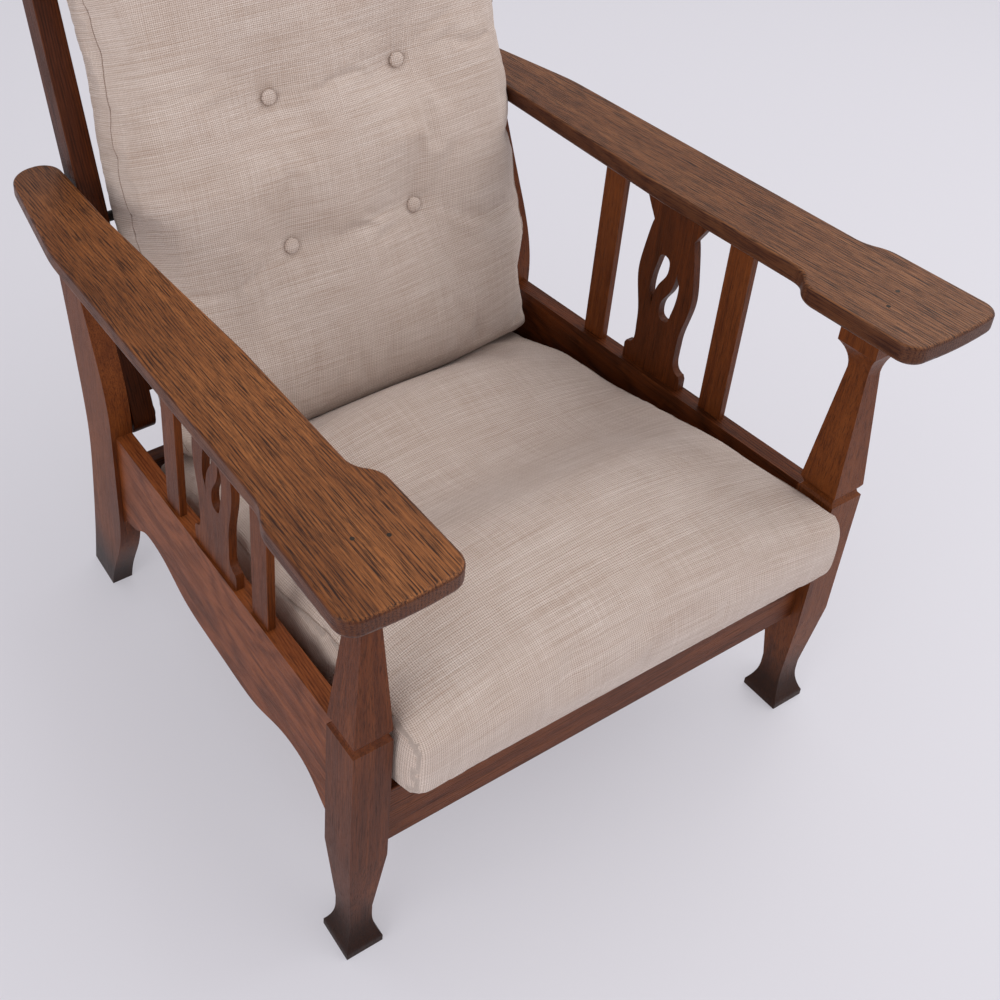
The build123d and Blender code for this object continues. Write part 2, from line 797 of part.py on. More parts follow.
def back_crest_rail():
    low = crest_low()
    high = low + crest_height
    with BuildPart() as rail:
        with BuildSketch(back_plane.offset(-frame_rail_thickness / 2)):
            with BuildLine():
                Polyline((-stile_inner_x, high), (-stile_inner_x, low), (stile_inner_x, low), (stile_inner_x, high))
                ThreePointArc((stile_inner_x, high), (0, high + crest_rise), (-stile_inner_x, high))
            make_face()
        extrude(amount=frame_rail_thickness)
        for side, hand in sides:
            frame_tenon(side, low, crest_height, 0, Mode.ADD)
        lath_slots(low, low + lath_tongue + joint_gap, joint_gap, Mode.SUBTRACT)
    save(rail.part, "back_crest_rail")


def back_lath(i):
    low = back_rail_low_at + back_rail_low_height - lath_tongue
    high = crest_low() + lath_tongue
    with BuildPart() as lath:
        with BuildSketch(back_plane.offset(-lath_thickness / 2)):
            with Locations((lath_places()[i], (low + high) / 2)):
                Rectangle(lath_width, high - low)
        extrude(amount=lath_thickness)
    save(lath.part, f"back_lath_{i + 1}")


# Pivot pins, their spacers, the rod and the racks
def pivot_pin(side, hand):
    head_x = stile_inner_x - running_gap
    with BuildPart() as pin:
        with BuildSketch(rake_plane(side * head_x)):
            Circle(pin_head_radius)
        extrude(amount=-side * pin_head_thickness)
        with BuildSketch(rake_plane(side * head_x)):
            Circle(pin_radius)
        extrude(amount=side * (back_leg_inner_x + pin_depth_in_leg - head_x))
    save(pin.part, f"pivot_pin_{hand}")


def pivot_spacer(side, hand):
    with BuildPart() as spacer:
        with BuildSketch(rake_plane(side * (stile_outer_x + running_gap))):
            Circle(spacer_radius)
            Circle(pin_radius + bore_gap, mode=Mode.SUBTRACT)
        extrude(amount=side * (back_leg_inner_x - stile_outer_x - running_gap))
    save(spacer.part, f"pivot_spacer_{hand}")


def notch_depth(angle):
    """Depth of the rod's centre when the back leans on it at this angle."""
    lean = math.radians(angle)
    behind = stile_depth / 2 + running_gap + rod_radius
    up = (rod_z - pivot_z + behind * math.sin(lean)) / math.cos(lean)
    return pivot_at + up * math.sin(lean) + behind * math.cos(lean)


def rack(side, hand):
    half = rod_radius + running_gap
    with BuildPart() as plate:
        with BuildSketch(side_plane(side * (back_leg_inner_x - rack_thickness))) as face:
            with BuildLine():
                heel = (pivot_at + rack_heel_reach, rod_z - rack_drop)
                tail = (pivot_at + rack_back_reach, rod_z - rack_tail_drop)
                Polyline(
                    tail,
                    (pivot_at + rack_back_reach, rod_z + rack_rise),
                    (pivot_at + rack_front_reach + rack_corner, rod_z + rack_rise),
                    (pivot_at + rack_front_reach, rod_z - rack_drop),
                    heel,
                )
                TangentArc(tail, heel, tangent=(-1, 0))
            make_face()
            fillet(face.vertices().group_by(Axis.Z)[-1], radius=rack_corner)
            for angle in notch_angles:
                with Locations(Location((notch_depth(angle), rod_z), -rake_angle)):
                    Circle(half, mode=Mode.SUBTRACT)
                    Rectangle(
                        2 * half,
                        2 * rack_rise,
                        align=(Align.CENTER, Align.MIN),
                        mode=Mode.SUBTRACT,
                    )
        extrude(amount=side * rack_thickness)
        for plane in rack_screw_planes(side):
            screw_hole(plane, rack_screw_length)
    save(plate.part, f"rack_{hand}")


def support_rod():
    end = back_leg_inner_x - rod_end_gap
    depth = notch_depth(rake_angle)
    with BuildPart() as rod:
        with BuildSketch(Plane(origin=(-end, front_y + depth, rod_z), x_dir=(0, 1, 0), z_dir=(1, 0, 0))):
            Circle(rod_radius)
        extrude(amount=2 * end)
        chamfer(rod.edges().filter_by(GeomType.CIRCLE), length=rod_end_bevel)
    save(rod.part, "support_rod")


def screw_group(name, planes, length):
    with BuildPart() as group:
        for plane in planes:
            add(screw(plane, length))
    save(group.part, name)


# Seat cushion: sections across the seat from front to back
# Each row: depth share, half-width share, foot share, edge-height share, crown share
seat_section_shares = (
    (0.0, 0.955, 0.12, 0.80, 0.08),
    (0.03, 0.99, 0.0, 0.93, 0.20),
    (0.12, 1.0, -0.05, 0.96, 0.38),
    (0.35, 1.0, -0.05, 0.90, 0.44),
    (0.62, 1.0, -0.05, 0.72, 0.43),
    (0.835, 1.0, -0.05, 0.57, 0.42),
    (0.88, 1.0, -0.05, 0.50, 0.25),
    (0.935, 0.995, -0.05, 0.43, 0.12),
    (1.0, 0.985, -0.05, 0.39, 0.12),
)


def cushion_section(half, low, edge, crown, bulge):
    """Closed section of a cushion: flat under side, bulged sides, crowned top."""
    with BuildLine() as line:
        Line((-half, low), (half, low))
        ThreePointArc((half, low), (half + bulge, (low + edge) / 2), (half, edge))
        ThreePointArc((half, edge), (0, crown), (-half, edge))
        ThreePointArc((-half, edge), (-half - bulge, (low + edge) / 2), (-half, low))
    return line.line


def seat_cushion():
    length = cleat_back_at - seat_back_gap - seat_front_at
    with BuildPart() as cushion:
        for s, w, foot, edge, crown in seat_section_shares:
            depth = seat_front_at + s * length
            slat_top = seat_line(depth) + seat_slat_thickness / math.cos(seat_slope) + soft_gap
            low = slat_top + foot * seat_height
            high = slat_top + edge * seat_height
            half = w * (leg_inner_x - seat_side_gap) - seat_side_bulge
            with BuildSketch(Plane(origin=(0, front_y + depth, 0), x_dir=(1, 0, 0), z_dir=(0, -1, 0))):
                add(cushion_section(half, low, high, high + crown * seat_height, seat_side_bulge))
                make_face()
        loft()
        split(bisect_by=seat_plane(0).offset(seat_slat_thickness + soft_gap), keep=Keep.TOP)
    save(cushion.part, "seat_cushion")


# Back cushion: sections from its foot to its top, each row: height share,
# half-width share, edge share and crown share
back_section_shares = (
    (0.0, 0.955, 0.80, 0.25),
    (0.03, 0.99, 0.95, 0.65),
    (0.12, 1.0, 1.0, 1.0),
    (0.35, 1.0, 1.0, 1.0),
    (0.65, 1.0, 1.0, 1.0),
    (0.88, 1.0, 1.0, 0.9),
    (0.97, 0.99, 0.95, 0.55),
    (1.0, 0.955, 0.80, 0.2),
)


def button_places():
    x = button_spacing / 2
    return [
        (button_centre_x + across, up) for across in (-x, x) for up in (button_low_at, button_high_at)
    ]


def back_cushion():
    with BuildPart() as cushion:
        for s, w, edge, crown in back_section_shares:
            up = back_cushion_foot + s * back_cushion_height
            origin = back_plane.from_local_coords((back_cushion_centre_x, up, 0))
            half = w * back_cushion_half_width - back_cushion_side_bulge
            high = cushion_back_face + edge * back_cushion_edge
            with BuildSketch(Plane(origin=origin, x_dir=(1, 0, 0), z_dir=-back_plane.y_dir)):
                add(
                    cushion_section(
                        half, cushion_back_face, high, high + crown * back_cushion_crown, back_cushion_side_bulge
                    )
                )
                make_face()
        loft()
        for x, up in button_places():
            centre = back_plane.from_local_coords((x, up, cushion_back_face + tuft_surface + tuft_radius))
            with Locations(centre):
                Sphere(tuft_radius, mode=Mode.SUBTRACT)
    save(cushion.part, "back_cushion")


def button(plane):
    """Covered button with a flat under side and a domed face."""
    top = (0, button_edge + button_rise)
    rim = (button_radius, button_edge)
    with BuildPart() as body:
        with BuildSketch(Plane.XZ):
            with BuildLine():
                Polyline(top, (0, 0), (button_radius, 0), rim)
                TangentArc(top, rim, tangent=(1, 0))
            make_face()
        revolve(axis=Axis.Z)
    return plane.location * body.part


def buttons():
    floor = cushion_back_face + tuft_surface + button_seat_gap
    with BuildPart() as group:
        for x, up in button_places():
            centre = back_plane.from_local_coords((x, up, floor))
            add(button(Plane(origin=centre, x_dir=(1, 0, 0), z_dir=back_plane.z_dir)))
    save(group.part, "back_cushion_buttons")


for side, hand in sides:
    front_leg(side, hand)
    back_leg(side, hand)
    side_rail(side, hand)
    upright_slat(side, hand, front_slat_at, "front_slat")
    upright_slat(side, hand, rear_slat_at, "rear_slat")
    splat(side, hand)
    arm(side, hand)
    seat_cleat(side, hand)
    back_stile(side, hand)
    pivot_pin(side, hand)
    pivot_spacer(side, hand)
    rack(side, hand)

rail_across(
    "front_rail",
    leg_inner_x,
    front_rail_setback,
    front_rail_top_z - front_rail_height,
    front_rail_height,
    rail_thickness,
    front_rail_tenon,
)
rail_across(
    "back_rail",
    back_leg_inner_x,
    back_leg_depth_at,
    back_rail_top_z - back_rail_height,
    back_rail_height,
    back_rail_thickness,
    back_rail_tenon,
)
for i in range(seat_slat_count):
    seat_slat(i)
for i in range(lath_count):
    back_lath(i)
back_bottom_rail()
back_crest_rail()
support_rod()
seat_cushion()
back_cushion()
buttons()
nails()
screw_group("rack_screws", [p for side, hand in sides for p in rack_screw_planes(side)], rack_screw_length)
screw_group("cleat_screws", [p for side, hand in sides for p in cleat_screw_planes(side)], cleat_screw_length)
screw_group(
    "slat_screws",
    [slat_screw_plane(side, i) for side, hand in sides for i in range(seat_slat_count)],
    slat_screw_length,
)
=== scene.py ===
# %% [markdown]
# # A reclining armchair of stained oak
# The chair's frame was drawn as solids, piece by piece, in the same space as this scene.
# Here each piece gets its finish: worked edges and open grain on the oak, a dull black on the
# iron, and two boxed cushions sewn and stuffed from their plain solids.

# %% Load the frame
import json
import math

import bmesh
import bpy
from mathutils import Matrix, Vector, noise
from mathutils.bvhtree import BVHTree


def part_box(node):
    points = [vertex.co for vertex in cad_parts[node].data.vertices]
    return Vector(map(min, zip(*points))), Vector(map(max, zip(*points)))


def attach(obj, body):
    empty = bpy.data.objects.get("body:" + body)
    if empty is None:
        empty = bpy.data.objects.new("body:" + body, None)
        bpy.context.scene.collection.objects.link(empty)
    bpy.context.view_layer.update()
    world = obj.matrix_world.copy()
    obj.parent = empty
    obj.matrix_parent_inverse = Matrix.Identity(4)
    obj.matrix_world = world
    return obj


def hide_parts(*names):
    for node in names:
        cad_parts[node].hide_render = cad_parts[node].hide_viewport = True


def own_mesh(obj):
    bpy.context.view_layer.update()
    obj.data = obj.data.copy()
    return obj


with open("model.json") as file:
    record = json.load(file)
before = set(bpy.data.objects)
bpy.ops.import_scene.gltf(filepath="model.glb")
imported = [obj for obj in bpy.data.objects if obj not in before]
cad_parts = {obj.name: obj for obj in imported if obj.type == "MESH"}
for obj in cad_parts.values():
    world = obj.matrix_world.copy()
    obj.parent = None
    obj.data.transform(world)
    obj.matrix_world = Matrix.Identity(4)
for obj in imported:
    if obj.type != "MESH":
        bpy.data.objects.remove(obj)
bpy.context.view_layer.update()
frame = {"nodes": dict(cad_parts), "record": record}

scene = bpy.context.scene
scene.view_settings.view_transform = "Standard"

# %% [markdown]
# ## Camera
# The chair is seen from in front and a little to its left, looking down. Its lower part fills
# the picture and the top of the back is cut off. Turning the camera straight at the chair
# would change how its arms and legs lean, so the lens is shifted instead, and the picture
# becomes one part of a wider view.

# %% Place the camera
camera_place = Vector((-0.7891, -1.0221, 1.4541))
camera_azimuth = math.radians(-24.8)
camera_elevation = math.radians(31.9)
camera_roll = math.radians(-4.08)
lens_mm = 47.2
sensor_mm = 36.0
lens_shift = (0.344, -0.306)

camera_data = bpy.data.cameras.new("camera")
camera_data.lens = lens_mm
camera_data.sensor_width = sensor_mm
camera_data.shift_x, camera_data.shift_y = lens_shift
camera = bpy.data.objects.new("camera", camera_data)
turn = Matrix.Rotation(camera_azimuth, 4, "Z")
tilt = Matrix.Rotation(math.pi / 2 - camera_elevation, 4, "X")
roll = Matrix.Rotation(camera_roll, 4, "Z")
camera.matrix_world = Matrix.Translation(camera_place) @ turn @ tilt @ roll
scene.collection.objects.link(camera)
scene.camera = camera
print("camera", camera.matrix_world.to_euler())

# %% [markdown]
# ## Materials written as steps
# A material in Blender is a network of nodes joined by links. Joining them one at a time takes
# many lines, so a small helper adds a node, feeds its inputs and hands on what comes out. Each
# material below then reads from top to bottom like a recipe.

# %% A helper that wires nodes together
class Wiring:
    """Adds nodes to one tree and joins them, so that a material reads as a list of steps."""

    def __init__(self, tree):
        self.tree = tree

    def node(self, kind, inputs=(), **settings):
        made = self.tree.nodes.new(kind)
        for name, value in settings.items():
            setattr(made, name, value)
        for name, value in dict(inputs).items():
            self.feed(made.inputs[name], value)
        return made

    def feed(self, target, value):
        if isinstance(value, bpy.types.NodeSocket):
            self.tree.links.new(value, target)
        else:
            target.default_value = value

    def math(self, operation, a, b=0.0, clamp=False):
        made = self.node("ShaderNodeMath", operation=operation, use_clamp=clamp)
        self.feed(made.inputs[0], a)
        self.feed(made.inputs[1], b)
        return made.outputs[0]

    def scaled(self, vector, by):
        made = self.node("ShaderNodeVectorMath", operation="MULTIPLY")
        self.feed(made.inputs[0], vector)
        self.feed(made.inputs[1], by)
        return made.outputs[0]

    def noise(self, vector, detail=2.0, rough=0.5, distortion=0.0):
        made = self.node("ShaderNodeTexNoise", {
            "Vector": vector, "Scale": 1.0, "Detail": detail, "Roughness": rough, "Distortion": distortion,
        })
        return made.outputs["Fac"]

    def ramp(self, value, low, high, out_low=0.0, out_high=1.0):
        made = self.node("ShaderNodeMapRange", {
            "Value": value, "From Min": low, "From Max": high, "To Min": out_low, "To Max": out_high,
        })
        return made.outputs["Result"]

    def mix(self, amount, a, b):
        made = self.node("ShaderNodeMix", data_type="RGBA")
        self.feed(made.inputs[0], amount)
        self.feed(made.inputs[6], a)
        self.feed(made.inputs[7], b)
        return made.outputs[2]

    def bump(self, height, strength, distance):
        made = self.node("ShaderNodeBump", {"Height": height, "Strength": strength, "Distance": distance})
        return made.outputs["Normal"]

    def attribute(self, name):
        return self.node("ShaderNodeAttribute", attribute_name=name).outputs

    def place(self):
        return self.node("ShaderNodeTexCoord").outputs["Object"]


def socket(group, name, kind, default=None, output=False):
    side = "OUTPUT" if output else "INPUT"
    item = group.interface.new_socket(name=name, in_out=side, socket_type=kind)
    if default is not None:
        item.default_value = default


def srgb(red, green, blue):
    """Linear colour for an sRGB colour given as 0 to 255."""
    parts = [c / 255 for c in (red, green, blue)]
    return (*[p / 12.92 if p <= 0.04045 else ((p + 0.055) / 1.055) ** 2.4 for p in parts], 1.0)


print("a middle grey is", srgb(128, 128, 128))

# %% [markdown]
# ## Floor
# The chair stands on a pale floor that carries its shadow. Stronger lamps would whiten the
# floor, but they would bleach the chair as well. So half of what is seen of the floor is a
# glow of its own. The camera gets it, and so do rays by way of a mirror or through glass, while
# the light that the floor throws on the chair stays that of plain paint.

# %% Lay the floor
floor_size = 12.0
floor_drop = 0.0005
floor_colour = (0.80, 0.785, 0.83, 1.0)
floor_roughness = 0.6
floor_glow = (0.665, 0.65, 0.70, 1.0)
floor_glow_share = 0.5


def plain_material(name, colour, roughness):
    material = bpy.data.materials.new(name)
    material.use_nodes = True
    shader = material.node_tree.nodes["Principled BSDF"]
    shader.inputs["Base Color"].default_value = colour
    shader.inputs["Roughness"].default_value = roughness
    return material, shader, Wiring(material.node_tree)


floor_mesh = bpy.data.meshes.new("floor")
edit = bmesh.new()
bmesh.ops.create_grid(edit, x_segments=1, y_segments=1, size=floor_size / 2)
edit.to_mesh(floor_mesh)
edit.free()
floor = bpy.data.objects.new("floor", floor_mesh)
floor.location.z = -floor_drop
scene.collection.objects.link(floor)

floor_paint, paint_shader, w = plain_material("pale_floor", floor_colour, floor_roughness)
ray = w.node("ShaderNodeLightPath").outputs
seen = w.math("MAXIMUM", ray["Is Camera Ray"], ray["Is Glossy Ray"])
seen = w.math("MAXIMUM", seen, ray["Is Transmission Ray"])
glow = w.node("ShaderNodeEmission", {"Color": floor_glow})
blend = w.node("ShaderNodeMixShader", {"Fac": w.math("MULTIPLY", seen, floor_glow_share)})
w.feed(blend.inputs[1], paint_shader.outputs[0])
w.feed(blend.inputs[2], glow.outputs[0])
w.feed(floor_paint.node_tree.nodes["Material Output"].inputs["Surface"], blend.outputs[0])
floor.data.materials.append(floor_paint)
print("floor", floor_size, "m wide")

# %% [markdown]
# ## Light
# The light is soft and comes from all round, a little stronger from above and from the left.
# A bright world gives the even part. Three broad lamps give the shapes, because small lamps
# would draw hard shadows between the slats.

# %% World and lamps
world_colour = (0.90, 0.89, 0.93, 1.0)
world_strength = 0.70
world = bpy.data.worlds.new("studio")
scene.world = world
world.use_nodes = True
world.node_tree.nodes["Background"].inputs["Color"].default_value = world_colour
world.node_tree.nodes["Background"].inputs["Strength"].default_value = world_strength


def softbox(name, place, aim, size, power):
    light = bpy.data.lights.new(name, "AREA")
    light.shape = "RECTANGLE"
    light.size, light.size_y = size
    light.energy = power
    lamp = bpy.data.objects.new(name, light)
    lamp.location = place
    lamp.rotation_euler = (Vector(aim) - Vector(place)).to_track_quat("-Z", "Y").to_euler()
    scene.collection.objects.link(lamp)


softbox("overhead", place=(2.0, -0.2, 2.6), aim=(0.0, 0.0, 0.3), size=(2.4, 2.4), power=34)
softbox("left_window", place=(-2.8, -0.9, 1.3), aim=(0.0, 0.0, 0.5), size=(2.0, 1.8), power=32)
softbox("front_fill", place=(1.5, -2.5, 1.9), aim=(0.0, 0.0, 0.5), size=(2.4, 1.6), power=18)

# %% [markdown]
# ## Oak
# The timber is oak, stained brown and well used. Its look lies in long dark pores, fine ring
# stripes and a few pale flecks, which all run along the board. A flat pattern laid on each face
# would break at the edges. So the figure is worked out in space and cuts through every face as
# real grain does. It is one node group that all the oak materials share.

# %% The grain, as one node group
rings_per_metre = 270.0
# Noise steps per metre: across the rings, through them and along the grain
sway_by = (5.0, 5.0, 2.4)
wobble_by = (60.0, 60.0, 5.0)
open_pores_by = (700.0, 700.0, 24.0)
small_pores_by = (1500.0, 1500.0, 70.0)
streaks_by = (110.0, 110.0, 2.0)
clouds_by = (9.0, 9.0, 4.0)
flecks_by = (260.0, 60.0, 34.0)
worn_spots_by = (90.0, 90.0, 30.0)


def oak_group():
    """Oak figure in grain space: X across the rings, Y through them, Z along the grain."""
    group = bpy.data.node_groups.new("oak_figure", "ShaderNodeTree")
    socket(group, "Grain", "NodeSocketVector")
    socket(group, "Wear", "NodeSocketFloat", 0.0)
    socket(group, "Tone", "NodeSocketFloat", 0.5)
    socket(group, "Pore strength", "NodeSocketFloat", 0.8)
    socket(group, "Ring strength", "NodeSocketFloat", 1.0)
    socket(group, "Fleck strength", "NodeSocketFloat", 0.2)
    socket(group, "Dark", "NodeSocketColor", (0.05, 0.02, 0.01, 1))
    socket(group, "Mid", "NodeSocketColor", (0.13, 0.05, 0.02, 1))
    socket(group, "Light", "NodeSocketColor", (0.24, 0.1, 0.04, 1))
    socket(group, "Color", "NodeSocketColor", output=True)
    socket(group, "Height", "NodeSocketFloat", output=True)
    socket(group, "Gloss", "NodeSocketFloat", output=True)
    w = Wiring(group)
    given = group.nodes.new("NodeGroupInput").outputs
    grain = given["Grain"]

    # Rings: stripes across the board that sway and wobble along it
    sway = w.noise(w.scaled(grain, sway_by))
    across = w.node("ShaderNodeSeparateXYZ", {"Vector": grain}).outputs["X"]
    across = w.math("ADD", across, w.math("MULTIPLY", w.math("SUBTRACT", sway, 0.5), 0.055))
    wobble = w.noise(w.scaled(grain, wobble_by))
    across = w.math("ADD", across, w.math("MULTIPLY", w.math("SUBTRACT", wobble, 0.5), 0.004))
    ring = w.math("FRACT", w.math("MULTIPLY", across, rings_per_metre))
    early = w.ramp(w.math("ABSOLUTE", w.math("SUBTRACT", ring, 0.5)), 0.1, 0.5)
    early = w.math("MULTIPLY", early, given["Ring strength"])

    # Pores: dark dashes along the grain, thickest in the early wood of each ring
    coarse = w.noise(w.scaled(grain, open_pores_by), detail=3.0, rough=0.65)
    fine = w.noise(w.scaled(grain, small_pores_by), rough=0.6)
    open_pore = w.ramp(w.math("ADD", coarse, w.math("MULTIPLY", early, 0.09)), 0.51, 0.67)
    small_pore = w.ramp(fine, 0.53, 0.65)
    pore = w.math("MAXIMUM", open_pore, w.math("MULTIPLY", small_pore, 0.75), clamp=True)

    # Body colour: streaks and clouds between the dark, the middle and the light stain
    streak = w.noise(w.scaled(grain, streaks_by), detail=5.0, rough=0.7)
    cloud = w.noise(w.scaled(grain, clouds_by))
    body = w.math("ADD", w.math("MULTIPLY", streak, 0.8), w.math("MULTIPLY", cloud, 0.6))
    body = w.math("ADD", w.math("SUBTRACT", body, 0.17), w.math("MULTIPLY", early, -0.14))
    body = w.math("ADD", body, w.math("SUBTRACT", given["Tone"], 0.5), clamp=True)
    low = w.mix(w.ramp(body, -0.1, 0.45), given["Dark"], given["Mid"])
    wood = w.mix(w.ramp(body, 0.42, 0.85), low, given["Light"])

    # Flecks, worn edges, and the pores over all
    fleck = w.ramp(w.noise(w.scaled(grain, flecks_by), distortion=0.6), 0.58, 0.70)
    wood = w.mix(w.math("MULTIPLY", fleck, given["Fleck strength"]), wood, given["Light"])
    spots = w.ramp(w.noise(w.scaled(grain, worn_spots_by), detail=3.0), 0.38, 0.62)
    worn = w.math("MULTIPLY", given["Wear"], spots)
    wood = w.mix(w.math("MULTIPLY", worn, 0.45), wood, given["Light"])
    wood = w.mix(w.math("MULTIPLY", pore, given["Pore strength"]), wood, given["Dark"])

    out = group.nodes.new("NodeGroupOutput")
    w.feed(out.inputs["Color"], wood)
    w.feed(out.inputs["Height"], w.math("SUBTRACT", 1.0, pore))
    gloss = w.math("ADD", w.math("MULTIPLY", cloud, 0.5), w.math("MULTIPLY", pore, 0.5))
    w.feed(out.inputs["Gloss"], gloss)
    return group


oak_figure = oak_group()
print("oak figure with", len(oak_figure.nodes), "nodes")

# %% [markdown]
# ## One oak for each kind of board
# The boards differ in colour and in the way they were cut. The two arms are the palest and
# most open in grain, and the frame of the back is the darkest. Each material places the shared
# figure, turned so that its grain runs along the board, makes the oak darker towards the floor
# on the feet, and gives the rim of an arm a darker colour.

# %% Oak materials
upright = (0.0, 0.0, 0.0)
deepways = (math.radians(90), 0.0, 0.0)
crossways = (0.0, math.radians(90), 0.0)
back_lean = math.radians(20.5)
raked = (back_lean, 0.0, 0.0)
foot_dark_colour = srgb(26, 17, 14)
foot_dark_heights = (0.12, 0.045)
rim_colour = srgb(60, 24, 11)
upright_ring_strength = 0.25


def oak_material(name, turn, colours, pores, flecks, tone, gloss, rim_shade=0.0, shine=0.12):
    """One board's oak: the figure turned so that its grain runs the way the board was cut."""
    material, shader, w = plain_material(name, colours[1], gloss)
    place = w.place()
    moved = w.node("ShaderNodeVectorMath", operation="ADD")
    w.feed(moved.inputs[0], place)
    w.feed(moved.inputs[1], w.attribute("board_shift")["Vector"])
    turned = w.node("ShaderNodeMapping", {"Vector": moved.outputs[0], "Rotation": turn})
    figure = w.node("ShaderNodeGroup", node_tree=oak_figure)
    settings = {
        "Grain": turned.outputs["Vector"],
        "Wear": w.attribute("arris")["Fac"],
        "Tone": w.math("ADD", w.attribute("board_tone_and_shade")["Fac"], tone),
        "Pore strength": pores,
        "Ring strength": upright_ring_strength if turn == upright else 1.0,
        "Fleck strength": flecks,
    }
    for field, value in (*settings.items(), *zip(("Dark", "Mid", "Light"), colours)):
        w.feed(figure.inputs[field], value)
    height = w.node("ShaderNodeSeparateXYZ", {"Vector": place}).outputs["Z"]
    # The oak darkens towards the floor below about 12 cm, with a noisy edge.
    foot_dark_noise = w.noise(w.scaled(place, (120.0, 120.0, 60.0)), detail=3.0)
    foot_dark = w.ramp(w.math("ADD", height, w.math("MULTIPLY", foot_dark_noise, 0.03)), *foot_dark_heights)
    colour = w.mix(w.math("MULTIPLY", foot_dark, 0.85), figure.outputs["Color"], foot_dark_colour)
    # The steep faces of an arm take the darker rim colour.
    rim = w.math("MULTIPLY", w.attribute("rim")["Fac"], rim_shade)
    w.feed(shader.inputs["Base Color"], w.mix(rim, colour, rim_colour))
    w.feed(shader.inputs["Roughness"], w.ramp(figure.outputs["Gloss"], -0.2, 1.4, gloss, gloss + 0.3))
    shader.inputs["Specular IOR Level"].default_value = shine
    shader.inputs["Coat Weight"].default_value = 0.03
    shader.inputs["Coat Roughness"].default_value = 0.28
    w.feed(shader.inputs["Normal"], w.bump(figure.outputs["Height"], 0.35, 0.0004))
    return material


arm_colours = (srgb(38, 18, 8), srgb(118, 67, 31), srgb(166, 104, 56))
right_arm_colours = (srgb(38, 20, 11), srgb(112, 67, 37), srgb(152, 101, 63))
post_colours = (srgb(34, 13, 5), srgb(92, 44, 17), srgb(126, 68, 30))
rail_colours = (srgb(38, 16, 6), srgb(112, 56, 25), srgb(144, 80, 40))
stile_colours = (srgb(26, 9, 2), srgb(72, 30, 7), srgb(96, 46, 14))
arm_finish = {"gloss": 0.32, "rim_shade": 0.65, "shine": 0.2}
oaks = {
    "arm_left": oak_material("oak_left_arm", deepways, arm_colours, 0.95, 0.1, 0.52, **arm_finish),
    "arm_right": oak_material("oak_right_arm", deepways, right_arm_colours, 1.0, 0.25, 0.5, **arm_finish),
    "upright": oak_material("oak_upright", upright, post_colours, 0.6, 0.06, 0.5, 0.30),
    "deepways": oak_material("oak_side_rail", deepways, rail_colours, 0.55, 0.2, 0.5, 0.30),
    "crossways": oak_material("oak_across", crossways, post_colours, 0.55, 0.2, 0.48, 0.32),
    "raked": oak_material("oak_back_frame", raked, stile_colours, 0.55, 0.15, 0.5, 0.30),
    "slat": oak_material("oak_seat_slats", crossways, rail_colours, 0.5, 0.1, 0.6, 0.5),
}
print("oak materials", len(oaks))

# %% [markdown]
# ## Worked edges
# A joiner takes the sharp edge off every board, and years of hands round it further. The solids
# have sharp edges. So each board is finished on a merged copy of its solid, with every edge
# bevelled where its faces meet steeply. The narrow new faces carry a mark, so that the stain
# can wear thin there. Each copy also holds its own shift of the grain, and a few a tone of
# their own, so that no two boards look sawn from one spot. The right side rail's much darker
# tone is painted shade, standing for the shadow of the arm above it.

# %% Work the arrises of each board
body_of_node = {n: body for body, names in frame["record"]["behaviour"]["bodies"].items() for n in names}
arris_width = 0.0014
weld_distance = 0.00001
flat_angle = math.radians(0.6)
arris_angle = math.radians(28)
# Tone offsets per board; the right side rail's deep offset is painted shade from the arm above it.
board_tones_and_shade = {
    "front_leg_left": -0.16, "front_leg_right": 0.10, "splat_left": -0.05, "splat_right": -0.16,
    "side_rail_right": -0.30, "back_leg_left": 0.03, "front_slat_right": 0.04,
}


def smooth_step(value, low, high):
    t = min(max((value - low) / (high - low), 0.0), 1.0)
    return t * t * (3 - 2 * t)


def shift_of(name):
    """A steady shift of the grain for each board, from its name alone."""
    total = sum((i + 1) * ord(c) for i, c in enumerate(name))
    return ((total * 0.37) % 1.7, (total * 0.61) % 1.3, (total * 0.23) % 2.1)


def board_copy(node, width=arris_width):
    """Copy of a board's solid with merged flats and rounded arrises."""
    mesh = frame["nodes"][node].data.copy()
    mesh.name = node
    mesh.materials.clear()
    edit = bmesh.new()
    edit.from_mesh(mesh)
    bmesh.ops.remove_doubles(edit, verts=edit.verts, dist=weld_distance)
    bmesh.ops.dissolve_limit(edit, angle_limit=flat_angle, verts=edit.verts, edges=edit.edges)
    sharp = [e for e in edit.edges if len(e.link_faces) == 2 and e.calc_face_angle(0) > arris_angle]
    arris = edit.faces.layers.float.new("arris")
    rim = edit.faces.layers.float.new("rim")
    made = bmesh.ops.bevel(
        edit, geom=sharp, offset=width, offset_type="OFFSET", segments=2, profile=0.5,
        affect="EDGES", clamp_overlap=True, material=-1,
    )
    for face in made["faces"]:
        face[arris] = 1.0
    bmesh.ops.remove_doubles(edit, verts=edit.verts, dist=weld_distance)
    bmesh.ops.recalc_face_normals(edit, faces=edit.faces)
    for face in edit.faces:
        face.smooth = True
        face[rim] = smooth_step(0.9 - abs(face.normal.z), 0.0, 0.5)
    edit.to_mesh(mesh)
    edit.free()
    shift = mesh.attributes.new("board_shift", "FLOAT_VECTOR", "POINT")
    for item in shift.data:
        item.vector = shift_of(node)
    tone = mesh.attributes.new("board_tone_and_shade", "FLOAT", "POINT")
    for item in tone.data:
        item.value = board_tones_and_shade.get(node, 0.0)
    return mesh


def finish_piece(name, mesh, node, material):
    """A finished piece that rides its body and stands for one node of the frame."""
    piece = bpy.data.objects.new(name, mesh)
    scene.collection.objects.link(piece)
    mesh.materials.append(material)
    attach(piece, body_of_node[node])
    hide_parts(node)
    return piece


